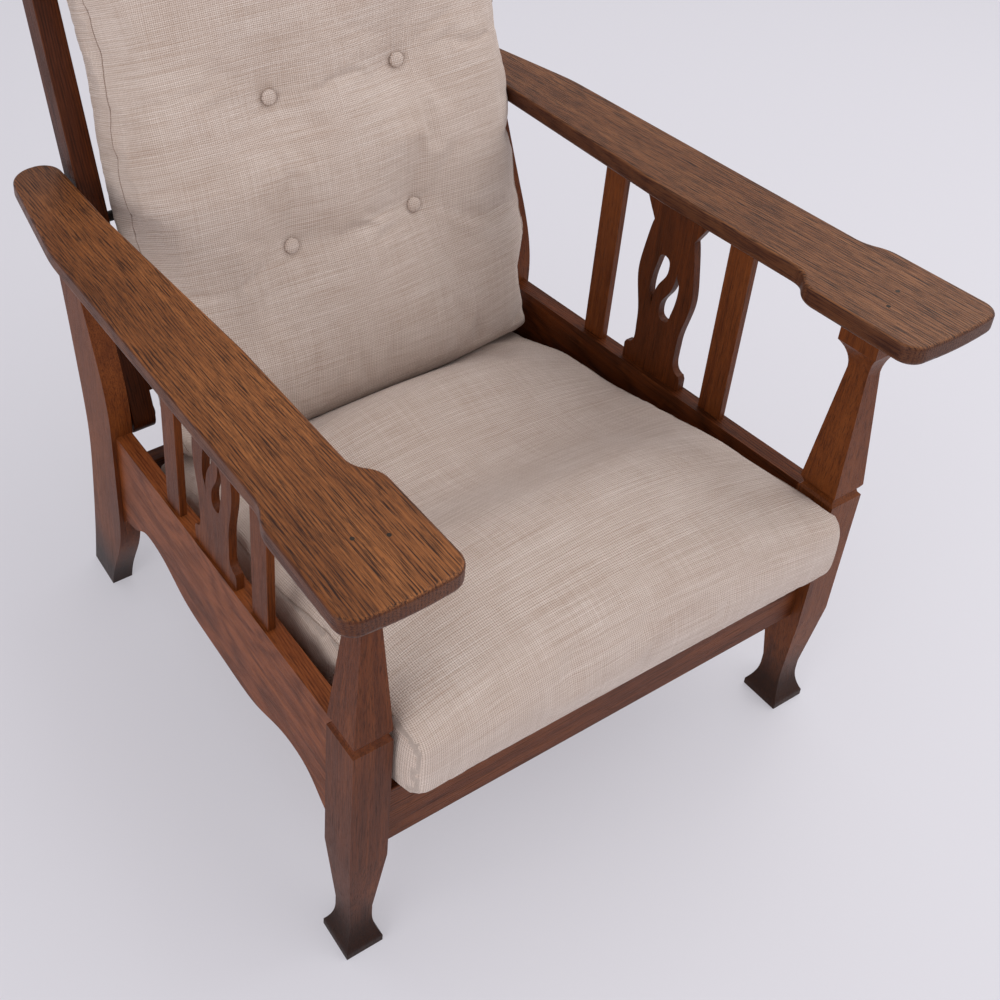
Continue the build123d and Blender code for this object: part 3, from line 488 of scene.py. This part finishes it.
# %% Oak boards in their places
oak_of = {}
for hand in ("left", "right"):
    oak_of[f"arm_{hand}"] = oaks[f"arm_{hand}"]
    for part in ("front_leg", "back_leg", "front_slat", "rear_slat", "splat"):
        oak_of[f"{part}_{hand}"] = oaks["upright"]
    for part in ("side_rail", "seat_cleat"):
        oak_of[f"{part}_{hand}"] = oaks["deepways"]
    oak_of[f"back_stile_{hand}"] = oaks["raked"]
for part in ("front_rail", "back_rail", "back_bottom_rail", "back_crest_rail"):
    oak_of[part] = oaks["crossways"]
for part in frame["nodes"]:
    if part.startswith("seat_slat_"):
        oak_of[part] = oaks["slat"]
    if part.startswith("back_lath_"):
        oak_of[part] = oaks["raked"]

worked = 0
for part, material in sorted(oak_of.items()):
    piece = finish_piece(f"{part}.oak", board_copy(part), part, material)
    shade = piece.modifiers.new("even_flats", "WEIGHTED_NORMAL")
    shade.mode = "FACE_AREA"
    shade.keep_sharp = True
    worked += len(piece.data.polygons)
print("boards", len(oak_of), "faces", worked)

# %% [markdown]
# ## Iron and steel
# The racks and the rod that hold the back are blackened iron, and the pins, screws and nails
# are dark steel. A single even colour would look like plastic, so both metals are a little
# patchy and dented. The racks and the rod get a fine bevel like the boards. The small steel
# pieces keep their own solids and only change their material.

# %% Metal
iron_arris_width = 0.0006


def metal_material(name, colour, roughness, metallic):
    material, shader, w = plain_material(name, colour, roughness)
    shader.inputs["Metallic"].default_value = metallic
    worn = w.noise(w.scaled(w.place(), (90.0, 90.0, 90.0)), detail=4.0)
    dark = tuple(0.55 * c for c in colour[:3]) + (1.0,)
    w.feed(shader.inputs["Base Color"], w.mix(w.ramp(worn, 0.35, 0.7), colour, dark))
    w.feed(shader.inputs["Normal"], w.bump(worn, 0.25, 0.0003))
    return material


iron = metal_material("blackened_iron", srgb(30, 26, 24), 0.55, 0.6)
steel = metal_material("aged_steel", srgb(62, 52, 44), 0.5, 0.8)
iron_nodes = ("rack_left", "rack_right", "support_rod")
steel_nodes = (
    "arm_nails", "rack_screws", "cleat_screws", "slat_screws",
    "pivot_pin_left", "pivot_pin_right", "pivot_spacer_left", "pivot_spacer_right",
)
for part in iron_nodes:
    piece = finish_piece(f"{part}.iron", board_copy(part, iron_arris_width), part, iron)
    piece.modifiers.new("even_flats", "WEIGHTED_NORMAL").keep_sharp = True
for part in steel_nodes:
    node = frame["nodes"][part]
    node.data.materials.clear()
    node.data.materials.append(steel)
print("metal pieces", len(iron_nodes) + len(steel_nodes))

# %% [markdown]
# ## Cushions
# Both cushions are boxed: a broad panel and a narrow side panel sewn together round the edge.
# Modelling their sags and puckers point by point would look stiff. So each starts from its
# plain solid, is cut to shape on an even mesh, and is filled like a bag by a short run of
# cloth under pressure. Its points are then held clear of the timber, so that nothing clips.

# %% Places on the leaning back
pivot_low, pivot_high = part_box("pivot_pin_left")
pivot = Vector((0.0, (pivot_low.y + pivot_high.y) / 2, (pivot_low.z + pivot_high.z) / 2))
back_up = Vector((0.0, math.sin(back_lean), math.cos(back_lean)))
back_forward = Vector((0.0, -math.cos(back_lean), math.sin(back_lean)))


def to_back(point):
    """Across, up the back and forward of it, for a point of the chair."""
    away = point - pivot
    return Vector((point.x, away.dot(back_up), away.dot(back_forward)))


def from_back(across, up, forward):
    return pivot + Vector((across, 0, 0)) + back_up * up + back_forward * forward


print("the back turns about", pivot)


# %% Blank cushions: an even mesh over each plain solid
def soften(edit, points, rounds, factor=0.5):
    for _ in range(rounds):
        bmesh.ops.smooth_vert(
            edit, verts=points, factor=factor, use_axis_x=True, use_axis_y=True, use_axis_z=True,
        )


def evaluated(thing):
    return thing.evaluated_get(bpy.context.evaluated_depsgraph_get())


def blank(node, voxel, rounds):
    mesh = frame["nodes"][node].data.copy()
    mesh.materials.clear()
    holder = bpy.data.objects.new(f"{node}_blank", mesh)
    scene.collection.objects.link(holder)
    even = holder.modifiers.new("even_mesh", "REMESH")
    even.mode = "VOXEL"
    even.voxel_size = voxel
    made = bpy.data.meshes.new_from_object(evaluated(holder))
    bpy.data.objects.remove(holder)
    edit = bmesh.new()
    edit.from_mesh(made)
    soften(edit, edit.verts, rounds)
    edit.to_mesh(made)
    edit.free()
    print(node, "blank with", len(made.vertices), "points")
    return made


# %% Filling: cloth under pressure for a few frames
def fill_with(name, mesh, held, pressure, slack, cap, frames=20):
    """Blow the bag up for a few frames; held points stay, and no point moves beyond the cap."""
    start = [v.co.copy() for v in mesh.vertices]
    bag = bpy.data.objects.new(name, mesh)
    scene.collection.objects.link(bag)
    group = bag.vertex_groups.new(name="held")
    group.add(held, 1.0, "REPLACE")
    filling = bag.modifiers.new("filling", "CLOTH")
    cloth = filling.settings
    cloth.quality = 5
    cloth.mass = 0.3
    cloth.tension_stiffness = 14
    cloth.compression_stiffness = 14
    cloth.shear_stiffness = 6
    cloth.bending_stiffness = 0.6
    cloth.air_damping = 3
    cloth.use_pressure = True
    cloth.uniform_pressure_force = pressure
    cloth.shrink_min = -slack
    cloth.vertex_group_mass = "held"
    cloth.effector_weights.gravity = 0
    filling.collision_settings.use_collision = False
    filling.collision_settings.use_self_collision = False
    filling.point_cache.frame_start = 1
    filling.point_cache.frame_end = frames
    for number in range(1, frames + 1):
        scene.frame_set(number)
    moved = []
    for before, vertex in zip(start, evaluated(bag).to_mesh().vertices):
        step = vertex.co - before
        if step.length > cap:
            step = step.normalized() * cap
        moved.append(before + step)
    scene.frame_set(1)
    bpy.data.objects.remove(bag)
    far = sorted((a - b).length for a, b in zip(start, moved))
    print(name, "moved", round(far[len(far) // 2], 4), "at the middle,", round(far[-1], 4), "at most")
    return moved


# %% Holding the cloth clear of the timber
timber_gap = 0.0006
timber_reach = 0.035


def tree_of(nodes):
    """One search tree over the solids of several nodes."""
    points, faces = [], []
    for node in nodes:
        mesh = frame["nodes"][node].data
        base = len(points)
        points += [v.co.copy() for v in mesh.vertices]
        faces += [[base + i for i in p.vertices] for p in mesh.polygons]
    return BVHTree.FromPolygons(points, faces)


def held_clear(points, tree, gap=timber_gap):
    """Points that went into the timber come back to its surface, with a small gap."""
    for i, point in enumerate(points):
        place, normal, _, distance = tree.find_nearest(point, timber_reach)
        if place is None:
            continue
        depth = (point - place).dot(normal)
        if depth < 0 or (depth < gap and distance < gap):
            points[i] = place + normal * gap
    return points


print("cloth keeps", timber_gap, "m from the timber")

# %% [markdown]
# ## The seat cushion
# The seat cushion is a thick, well filled box of cloth that stands a little out over the front
# rail. Its underside lies flat on the slats and its back edge is pushed against the back
# cushion, so those points are held while the rest is filled. It is let out by a few
# millimetres at the right front, where the cloth has crept past the post.

# %% Cut and fill the seat cushion
seat_step = 0.0065
seat_let_out = 0.007
seat_side_sag = 0.005
facing_down = -0.6
facing_rear = 0.6
seat_low, seat_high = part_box("seat_cushion")
leg_low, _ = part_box("front_leg_right")
seat_blank = blank("seat_cushion", seat_step, 2)
seat_normals = [v.normal.copy() for v in seat_blank.vertices]
for vertex in seat_blank.vertices:
    ahead = smooth_step(leg_low.y + 0.004 - vertex.co.y, 0.0, 0.022)
    if vertex.co.x > 0:
        vertex.co.x += seat_let_out * ahead * smooth_step(vertex.co.x, 0.15, 0.28)
    lump = noise.noise(vertex.co * 5.5) * 0.0018 + noise.noise(vertex.co * 14.0) * 0.0010
    sag = seat_side_sag * smooth_step(vertex.co.x, 0.14, 0.27) * smooth_step(vertex.co.y, -0.2, 0.0)
    vertex.co.z += (lump - sag) * max(seat_normals[vertex.index].z, 0.0)
seat_cut = [v.co.copy() for v in seat_blank.vertices]
seat_held = [i for i, n in enumerate(seat_normals) if n.z < facing_down or n.y > facing_rear]
seat_points = fill_with("seat_bag", seat_blank, seat_held, pressure=1.0, slack=0.005, cap=0.008)
around_seat = ["front_leg_left", "front_leg_right", "side_rail_left", "side_rail_right", "front_rail"]
around_seat += [f"seat_slat_{i}" for i in range(1, 8)]
seat_points = held_clear(seat_points, tree_of(around_seat))
print("seat cushion points", len(seat_points))

# %% [markdown]
# ## The back cushion
# The back cushion is drawn in by four covered buttons, with faint valleys between them, and
# its foot droops on to the seat. Pressure alone would not find those valleys, so they are cut
# first, as soft dips in the face of the blank, together with its wavy edges and a fuller right
# side. Then it is filled, held where it lies on the frame and under each button, and free to
# swell everywhere else.

# %% The face of the back cushion, smoothed
back_step = 0.0074
back_middle = 0.016
back_face = 0.085
panel_half_width = 0.22
panel_foot, panel_top = 0.03, 0.58
back_blank = blank("back_cushion", back_step, 3)
edit = bmesh.new()
edit.from_mesh(back_blank)
panel = []
for vertex in edit.verts:
    across, up, forward = to_back(vertex.co)
    if forward > back_face and abs(across - back_middle) < panel_half_width and panel_foot < up < panel_top:
        panel.append(vertex)
soften(edit, panel, 14)
edit.to_mesh(back_blank)
edit.free()
back_normals = [v.normal.copy() for v in back_blank.vertices]
print("back cushion's face has", len(panel), "points")

# %% Valleys, lumps and edges of the back cushion
tufts = ((-0.078, 0.195), (0.106, 0.193), (-0.068, 0.383), (0.119, 0.382))
tuft_columns = (-0.075, 0.112)
tuft_rows = (0.196, 0.381)
tuft_held_radius = 0.011
foot_drop = 0.030


def valley(away, width):
    """A soft valley's share of its depth, 1 in its middle."""
    return math.exp(-((away / width) ** 2))


def from_tuft(across, up):
    return min(math.hypot(across - x, up - h) for x, h in tufts)


def drawn_in(across, up):
    """How deep the buttons draw the face in, with the valleys that join them."""
    depth = 0.0
    for column in tuft_columns:
        down_column = 0.003 * valley(across - column, 0.03)
        depth += down_column * smooth_step(up, 0.12, 0.24) * smooth_step(-up, -0.46, -0.34)
    for row in tuft_rows:
        along_row = 0.0045 * valley(up - row, 0.024)
        depth += along_row * smooth_step(across, -0.17, -0.04) * smooth_step(-across, -0.21, -0.08)
    near = from_tuft(across, up)
    return depth * (1 - valley(near, 0.045)) + 0.006 * valley(near, 0.024)


def uneven(place, across, up):
    """Lumps of the filling and slight cross folds of the cloth."""
    lump = noise.noise(place * 6.0 + Vector((3, 1, 7))) * 0.003
    fold = noise.noise(Vector((across * 5.0, up * 24.0, 2.0))) * 0.0014
    return lump + fold


def moved_edge(across, up):
    """Across with both edges wavy, the right let out and the left taken in, and the right's share."""
    side = across - back_middle
    wave = noise.noise(Vector((up * 17.0, 4.0, math.copysign(2.0, side)))) * 0.0025
    across += math.copysign(wave, side) * smooth_step(abs(side), 0.22, 0.26)
    right_edge = smooth_step(across, 0.14, 0.27)
    let_out = 0.001 + 0.029 * smooth_step(up, 0.02, 0.11)
    let_out -= 0.006 * smooth_step(up, 0.18, 0.26)
    let_out += 0.024 * smooth_step(up, 0.36, 0.47)
    across += right_edge * let_out
    across -= 0.004 * smooth_step(-across, 0.16, 0.25)
    return across, right_edge


print("tufts", len(tufts))

# %% Cut and fill the back cushion
face_full = 0.115
face_fullness = 0.006
right_fullness = 0.010
foot_corner_out = 0.012
foot_start = 0.085
frame_side = 0.026
back_cut = []
back_held = []
for vertex in back_blank.vertices:
    across, up, forward = to_back(vertex.co)
    face_side = smooth_step(forward, back_face, face_full)
    near = from_tuft(across, up)
    forward += face_side * (face_fullness - drawn_in(across, up) + uneven(vertex.co, across, up))
    across, right_edge = moved_edge(across, up)
    forward += right_fullness * face_side * right_edge * smooth_step(up, 0.1, 0.3)
    across += foot_corner_out * smooth_step(across, 0.24, 0.28) * smooth_step(0.012 - up, 0.0, 0.03)
    up -= foot_drop * smooth_step(foot_start - up, 0.0, 0.105)
    back_cut.append(from_back(across, up, forward))
    on_frame = forward < frame_side or back_normals[vertex.index].dot(back_up) < facing_down
    under_button = near < tuft_held_radius and forward > 0.08
    if on_frame or under_button:
        back_held.append(vertex.index)
for vertex, place in zip(back_blank.vertices, back_cut):
    vertex.co = place
back_points = fill_with("back_bag", back_blank, back_held, pressure=2.2, slack=0.016, cap=0.012)
behind_back = ["back_stile_left", "back_stile_right", "back_bottom_rail", "back_crest_rail"]
behind_back += [f"back_lath_{i}" for i in range(1, 6)]
for part in ("pivot_pin", "arm", "side_rail", "back_leg"):
    behind_back += [f"{part}_left", f"{part}_right"]
back_points = held_clear(back_points, tree_of(behind_back))
print("back cushion points", len(back_points))

# %% [markdown]
# ## Where the cushions meet
# The foot of the back cushion rests on the rear of the seat cushion, and both give way. A cloth
# run with two bags that press on each other would be slow. So the points that went into the
# other bag are moved out by halves instead, in a few rounds.


# %% Let the two cushions press on each other
def press_together(first, first_mesh, second, second_mesh, rounds=6, gap=0.0004):
    """Where the bags overlap, both give way by half."""
    first_faces = [list(p.vertices) for p in first_mesh.polygons]
    second_faces = [list(p.vertices) for p in second_mesh.polygons]
    for number in range(rounds):
        give = 0.5 if number < rounds - 1 else 1.0
        for points, others, faces in ((first, second, second_faces), (second, first, first_faces)):
            tree = BVHTree.FromPolygons(others, faces)
            for i, point in enumerate(points):
                place, normal, _, distance = tree.find_nearest(point, 0.05)
                if place is None:
                    continue
                depth = (point - place).dot(normal)
                if depth < 0 or (depth < gap and distance < gap):
                    points[i] = point.lerp(place + normal * gap, give)


press_together(back_points, back_blank, seat_points, seat_blank)
print("cushions pressed together")

# %% [markdown]
# ## Linen
# The covers are an oatmeal linen in a plain weave of thick and thin threads. Long pale and dark
# slubs run across the chair and fewer run down it. The weave could be a repeated picture, but
# its slubs would repeat too. So the threads are two sets of waves that take turns on top, and
# the slubs are noise stretched along the threads. The weave reads where each point lay on the
# flat cloth, so that it follows the cloth when the bag fills.

# %% The weave, as one node group
thread_pitch = 0.0024
thread_jitter = 0.0016


def linen_group():
    group = bpy.data.node_groups.new("slubbed_linen", "ShaderNodeTree")
    socket(group, "Cloth", "NodeSocketVector")
    socket(group, "Yarn", "NodeSocketColor", (0.5, 0.4, 0.33, 1))
    socket(group, "Slub", "NodeSocketColor", (0.62, 0.52, 0.45, 1))
    socket(group, "Shade", "NodeSocketColor", (0.3, 0.22, 0.17, 1))
    socket(group, "Color", "NodeSocketColor", output=True)
    socket(group, "Height", "NodeSocketFloat", output=True)
    w = Wiring(group)
    given = group.nodes.new("NodeGroupInput").outputs
    cloth = given["Cloth"]

    # Threads: two sets of waves that take turns on top
    jitter = w.noise(w.scaled(cloth, (55.0, 55.0, 1.0)), detail=1.0)
    parts = w.node("ShaderNodeSeparateXYZ", {"Vector": cloth}).outputs
    sway = w.math("MULTIPLY", w.math("SUBTRACT", jitter, 0.5), thread_jitter)
    u = w.math("MULTIPLY", w.math("ADD", parts["X"], sway), 1 / thread_pitch)
    v = w.math("MULTIPLY", w.math("ADD", parts["Y"], sway), 1 / thread_pitch)
    parity = w.math("FLOORED_MODULO", w.math("ADD", w.math("FLOOR", u), w.math("FLOOR", v)), 2.0)
    warp = w.math("ABSOLUTE", w.math("SINE", w.math("MULTIPLY", u, math.pi)))
    weft = w.math("ABSOLUTE", w.math("SINE", w.math("MULTIPLY", v, math.pi)))
    under = w.math("MULTIPLY", w.math("SUBTRACT", 1.0, parity), weft)
    over = w.math("ADD", w.math("MULTIPLY", parity, warp), under)
    cross = w.math("MULTIPLY", warp, weft)
    height = w.math("ADD", w.math("MULTIPLY", over, 0.7), w.math("MULTIPLY", cross, 0.3))

    # Slubs and clouds of tone, then the shade between the threads
    long_slub = w.noise(w.scaled(cloth, (7.0, 520.0, 1.0)), detail=3.0, rough=0.6)
    short_slub = w.noise(w.scaled(cloth, (45.0, 700.0, 1.0)))
    down_slub = w.noise(w.scaled(cloth, (560.0, 9.0, 1.0)), detail=3.0, rough=0.6)
    cloud = w.noise(w.scaled(cloth, (14.0, 26.0, 1.0)), detail=3.0)
    tone = w.math("ADD", w.math("MULTIPLY", long_slub, 0.9), w.math("MULTIPLY", short_slub, 0.35))
    broad = w.math("ADD", w.math("MULTIPLY", down_slub, 0.45), w.math("MULTIPLY", cloud, 0.3))
    tone = w.math("ADD", tone, broad)
    colour = w.mix(w.ramp(tone, 0.76, 1.24), given["Yarn"], given["Slub"])
    between = w.ramp(height, 0.55, 0.1)
    colour = w.mix(w.math("MULTIPLY", between, 0.8), colour, given["Shade"])

    out = group.nodes.new("NodeGroupOutput")
    w.feed(out.inputs["Color"], colour)
    w.feed(out.inputs["Height"], w.math("ADD", height, w.math("MULTIPLY", long_slub, 0.5)))
    return group


linen_weave = linen_group()
print("linen weave with", len(linen_weave.nodes), "nodes")


# %% The linen
linen_roughness = 0.92


def linen_material(name, yarn, slub, shade):
    material, shader, w = plain_material(name, yarn, linen_roughness)
    weave = w.node("ShaderNodeGroup", node_tree=linen_weave)
    w.feed(weave.inputs["Cloth"], w.attribute("cloth_laid")["Vector"])
    for field, value in (("Yarn", yarn), ("Slub", slub), ("Shade", shade)):
        w.feed(weave.inputs[field], value)
    # The seam mark pulls the colour towards the shade colour: painted shade on the thread, round each
    # button and on its sunk rim.
    seam = w.math("MULTIPLY", w.attribute("seam")["Fac"], 0.6)
    w.feed(shader.inputs["Base Color"], w.mix(seam, weave.outputs["Color"], shade))
    shader.inputs["Specular IOR Level"].default_value = 0.2
    shader.inputs["Sheen Weight"].default_value = 0.2
    shader.inputs["Sheen Roughness"].default_value = 0.5
    w.feed(shader.inputs["Normal"], w.bump(weave.outputs["Height"], 0.6, 0.0007))
    return material


linen = linen_material("oatmeal_linen", srgb(189, 167, 152), srgb(222, 207, 197), srgb(126, 101, 86))
print("cloth", linen.name)

# %% [markdown]
# ## Sewing
# A boxed cushion shows a seam where two panels meet: the cloth dips, and a line of thread runs
# along it. Seams drawn only as dark lines look painted on. So the points near a seam are drawn
# in, and a thin round of thread is laid on the filled cloth, along the line where it was cut.
# The thread is coloured towards the linen's shade colour, as painted shade along the seam.


# %% Marks on the cloth, and distances along a seam
def cloth_layers(mesh, laid, seam):
    mesh.attributes.new("cloth_laid", "FLOAT_VECTOR", "POINT")
    # The seam layer holds painted shade: round each button here, and on the thread and button rims added
    # later.
    mesh.attributes.new("seam", "FLOAT", "POINT")
    mesh.attributes["cloth_laid"].data.foreach_set("vector", [c for place in laid for c in place])
    mesh.attributes["seam"].data.foreach_set("value", seam)


def near_line(path, point):
    """Distance from a point to a chain of straight parts."""
    best = 1.0
    for a, b in zip(path, path[1:]):
        run = b - a
        t = min(max((point - a).dot(run) / run.length_squared, 0.0), 1.0)
        best = min(best, (a + run * t - point).length)
    return best


def draw_in(points, normals, cut, seams, width, depth):
    """Points near a seam sink into the cushion, deepest on the seam itself."""
    for i, place in enumerate(cut):
        away = min(near_line(line, place) for line in seams)
        if away < width:
            points[i] = points[i] - normals[i] * depth * (1 - away / width)


def spaced(path, step=0.006):
    """Points at even steps along a chain of straight parts."""
    points = []
    for a, b in zip(path, path[1:]):
        count = max(int((b - a).length / step), 1)
        points += [a.lerp(b, k / count) for k in range(count)]
    return points + [path[-1]]


# %% Thread along a seam
thread_radius = 0.0007
thread_lift = 0.0002
thread_sides = 5


def thread_line(edit, layers, path, tree):
    """A thin round of thread that follows a path laid on the cloth."""
    laid, mark = layers
    rings = []
    for i, point in enumerate(path):
        place, normal, _, _ = tree.find_nearest(point)
        ahead = path[min(i + 1, len(path) - 1)] - path[max(i - 1, 0)]
        side = ahead.cross(normal).normalized()
        up = side.cross(ahead).normalized()
        centre = place + normal * thread_lift
        ring = []
        for k in range(thread_sides):
            angle = 2 * math.pi * k / thread_sides
            out = side * math.cos(angle) * thread_radius
            vertex = edit.verts.new(centre + out + up * math.sin(angle) * thread_radius)
            vertex[laid] = (i * 0.004, k * 0.001, 0.0)
            # A full seam mark: the thread is darkened as painted shade along the seam.
            vertex[mark] = 1.0
            ring.append(vertex)
        rings.append(ring)
    for a, b in zip(rings, rings[1:]):
        for k in range(thread_sides):
            after = (k + 1) % thread_sides
            edit.faces.new((a[k], a[after], b[after], b[k])).smooth = True


print("thread", thread_radius * 2, "m thick")


# %% Dress a cushion
def finer(mesh):
    edit = bmesh.new()
    edit.from_mesh(mesh)
    bmesh.ops.subdivide_edges(edit, edges=edit.edges, cuts=1, use_grid_fill=True, smooth=0.0)
    soften(edit, edit.verts, 1, 0.35)
    for face in edit.faces:
        face.smooth = True
    edit.to_mesh(mesh)
    edit.free()


def carried(line, cut, points, corners):
    """A seam's line as cut, carried along to where its cloth went when the bag was filled."""
    tree = BVHTree.FromPolygons(cut, corners)
    moved = []
    for point in spaced(line):
        place, _, face, _ = tree.find_nearest(point)
        weights = [1 / ((cut[k] - place).length + 0.0005) for k in corners[face]]
        total = sum(weights)
        step = sum(((points[k] - cut[k]) * (s / total) for k, s in zip(corners[face], weights)), Vector())
        moved.append(place + step)
    return moved


def dress(name, mesh, points, laid, painted_shade_amount, seams, cut):
    """Final mesh of a cushion: moved points, finer mesh, thread lines along its seams."""
    for vertex, place in zip(mesh.vertices, points):
        vertex.co = place
    cloth_layers(mesh, laid, painted_shade_amount)
    corners = [list(p.vertices) for p in mesh.polygons]
    moved_lines = [carried(line, cut, points, corners) for line in seams]
    finer(mesh)
    edit = bmesh.new()
    edit.from_mesh(mesh)
    tree = BVHTree.FromBMesh(edit)
    layers = (edit.verts.layers.float_vector["cloth_laid"], edit.verts.layers.float["seam"])
    for line in moved_lines:
        thread_line(edit, layers, line, tree)
    edit.to_mesh(mesh)
    edit.free()
    mesh.name = name
    return mesh


# %% [markdown]
# ## The seat cushion's cover
# On the seat cushion the broad panel runs over the front edge and down, so its weave has to
# turn that corner without a jump. Each point is laid out flat by adding how far it has dropped
# below the top. The two side panels are laid out apart, and the seams lie between them.

# %% Lay out the seat cushion's panels
turn_line = seat_low.y + 0.055
turn_band = 0.008
turn_column = 0.03
side_panel_apart = 1.7
turn_heights = {}
for place, normal in zip(seat_cut, seat_normals):
    if abs(place.y - turn_line) < turn_band and normal.z > 0.5:
        turn_heights.setdefault(round(place.x / turn_column), []).append(place.z)
turn_heights = {column: sum(found) / len(found) for column, found in turn_heights.items()}


def turn_height(across):
    """Height of the top panel where it starts to run over the front edge."""
    low = math.floor(across / turn_column)
    ends = (min(turn_heights), max(turn_heights))
    a, b = (turn_heights[min(max(column, ends[0]), ends[1])] for column in (low, low + 1))
    return a + (b - a) * (across / turn_column - low)


seat_laid = []
for place, normal in zip(seat_cut, seat_normals):
    if abs(normal.x) > 0.8:
        seat_laid.append((place.y + side_panel_apart, place.z, 0.0))
    else:
        over = max(turn_height(place.x) - place.z, 0.0) * smooth_step(turn_line - place.y, 0.0, 0.03)
        seat_laid.append((place.x, place.y - over, 0.0))
print("the front turn has", len(turn_heights), "heights")

# %% Sew the seat cushion
seam_row = 0.02
seam_from_middle = 0.2
seam_from_rear = 0.12


def seat_edge(side):
    """The line where the top panel meets one side panel, taken from the cushion as cut."""
    rows = {}
    for place in seat_cut:
        if side * place.x > seam_from_middle and place.y < seat_high.y - seam_from_rear:
            row = round(place.y / seam_row)
            score = side * place.x * 0.9 + place.z
            if row not in rows or score > rows[row][0]:
                rows[row] = (score, place)
    line = [rows[row][1] for row in sorted(rows)][1:]
    windows = [line[max(i - 2, 0):i + 3] for i in range(len(line))]
    return [sum(window, Vector()) / len(window) for window in windows]


seat_seams = [seat_edge(-1), seat_edge(1)]
draw_in(seat_points, seat_normals, seat_cut, seat_seams, width=0.009, depth=0.0009)
no_shade = [0.0] * len(seat_cut)
seat_mesh = dress("seat_cushion", seat_blank, seat_points, seat_laid, no_shade, seat_seams, seat_cut)
seat_piece = finish_piece("seat_cushion.linen", seat_mesh, "seat_cushion", linen)
print("seat cushion faces", len(seat_mesh.polygons))

# %% [markdown]
# ## The back cushion's cover
# The back cushion's front panel is sewn to a side panel by one seam that runs right round. The
# weave is laid out by unrolling the sides from the face, which keeps it whole at the seam. A
# soft shade round each button stands for the cloth gathered under it.

# %% Lay out and sew the back cushion
back_edge_half = 0.2645
back_seam_forward = 0.076
back_foot, back_top = -0.025, 0.635
back_turn = 0.112
corner_cut = 0.02
back_laid = []
for place in back_cut:
    across, up, forward = to_back(place)
    behind = max(back_turn - forward, 0.0)
    off_middle = across - back_middle
    around_side = math.copysign(behind, off_middle) * smooth_step(abs(off_middle), 0.2, 0.25)
    over_top = behind * smooth_step(up, back_top - 0.05, back_top - 0.01)
    back_laid.append((across + around_side, up + over_top, 0.0))

foot_line = back_foot - foot_drop + 0.006
half, inner_half = back_edge_half, back_edge_half - corner_cut
ring = [from_back(back_middle + across, up, back_seam_forward) for across, up in (
    (-half, foot_line + corner_cut), (-half, back_top - corner_cut), (-inner_half, back_top - 0.004),
    (inner_half, back_top - 0.004), (half, back_top - corner_cut), (half, foot_line + corner_cut),
    (inner_half, foot_line), (-inner_half, foot_line), (-half, foot_line + corner_cut),
)]
back_shade = []
for place in back_cut:
    across, up, forward = to_back(place)
    shade = 0.55 * smooth_step(0.0155 - from_tuft(across, up), 0.0, 0.005)
    back_shade.append(shade if forward > 0.06 else 0.0)
draw_in(back_points, back_normals, back_cut, [ring], width=0.010, depth=0.0022)
back_mesh = dress("back_cushion", back_blank, back_points, back_laid, back_shade, [ring], back_cut)
print("back cushion faces before its buttons", len(back_mesh.polygons))

# %% [markdown]
# ## Covered buttons
# Each tuft ends in a button covered with the same linen: a low dome with a rounded rim, pulled
# a little into the cushion. A sphere pressed flat would have no rim. So half the outline of the
# dome is drawn once, from its sunk rim to its top, and spun round the way the back faces.

# %% Add the buttons
button_radius = 0.0102
button_rise = 0.0048
button_lift = 0.0022
button_sunk = 0.002
button_sides = 28
button_rows = 7


def add_button(mesh, centre):
    """A covered button on the cushion, its cloth laid straight across it."""
    edit = bmesh.new()
    edit.from_mesh(mesh)
    laid = edit.verts.layers.float_vector["cloth_laid"]
    mark = edit.verts.layers.float["seam"]
    cloth = set(edit.verts)
    middle = centre + back_forward * button_lift
    across = Vector((1, 0, 0))
    outline = [edit.verts.new(middle + across * button_radius * 0.93 - back_forward * button_sunk)]
    for row in range(1, button_rows):
        angle = math.pi / 2 * row / (button_rows - 1)
        out = across * button_radius * math.cos(angle) ** 0.8
        outline.append(edit.verts.new(middle + out + back_forward * button_rise * math.sin(angle)))
    edges = [edit.edges.new(pair) for pair in zip(outline, outline[1:])]
    bmesh.ops.spin(
        edit, geom=outline + edges, cent=middle, axis=back_forward, angle=2 * math.pi,
        steps=button_sides, use_merge=True,
    )
    dome = [vertex for vertex in edit.verts if vertex not in cloth]
    for vertex in dome:
        away = vertex.co - middle
        vertex[laid] = (centre.x + away.x, centre.z + away.dot(back_up), 0.0)
        # Half a seam mark on the sunk rim: painted shade where the button sinks into the cloth.
        vertex[mark] = 0.5 if away.dot(back_forward) < 0 else 0.0
    faces = [face for face in edit.faces if face.verts[0] not in cloth]
    for face in faces:
        face.smooth = True
    bmesh.ops.recalc_face_normals(edit, faces=faces)
    top = [v for v in dome if (v.co - middle).cross(back_forward).length < 0.0001]
    bmesh.ops.remove_doubles(edit, verts=top, dist=0.0005)
    edit.to_mesh(mesh)
    edit.free()


cloth_points = [v.co.copy() for v in back_mesh.vertices]
cloth_tree = BVHTree.FromPolygons(cloth_points, [list(p.vertices) for p in back_mesh.polygons])
for across, up in tufts:
    eye = from_back(across, up, 0.3)
    place, _, _, _ = cloth_tree.ray_cast(eye, -back_forward)
    add_button(back_mesh, place)
back_piece = finish_piece("back_cushion.linen", back_mesh, "back_cushion", linen)
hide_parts("back_cushion_buttons")
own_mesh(back_piece)
print("back cushion faces", len(back_mesh.polygons))
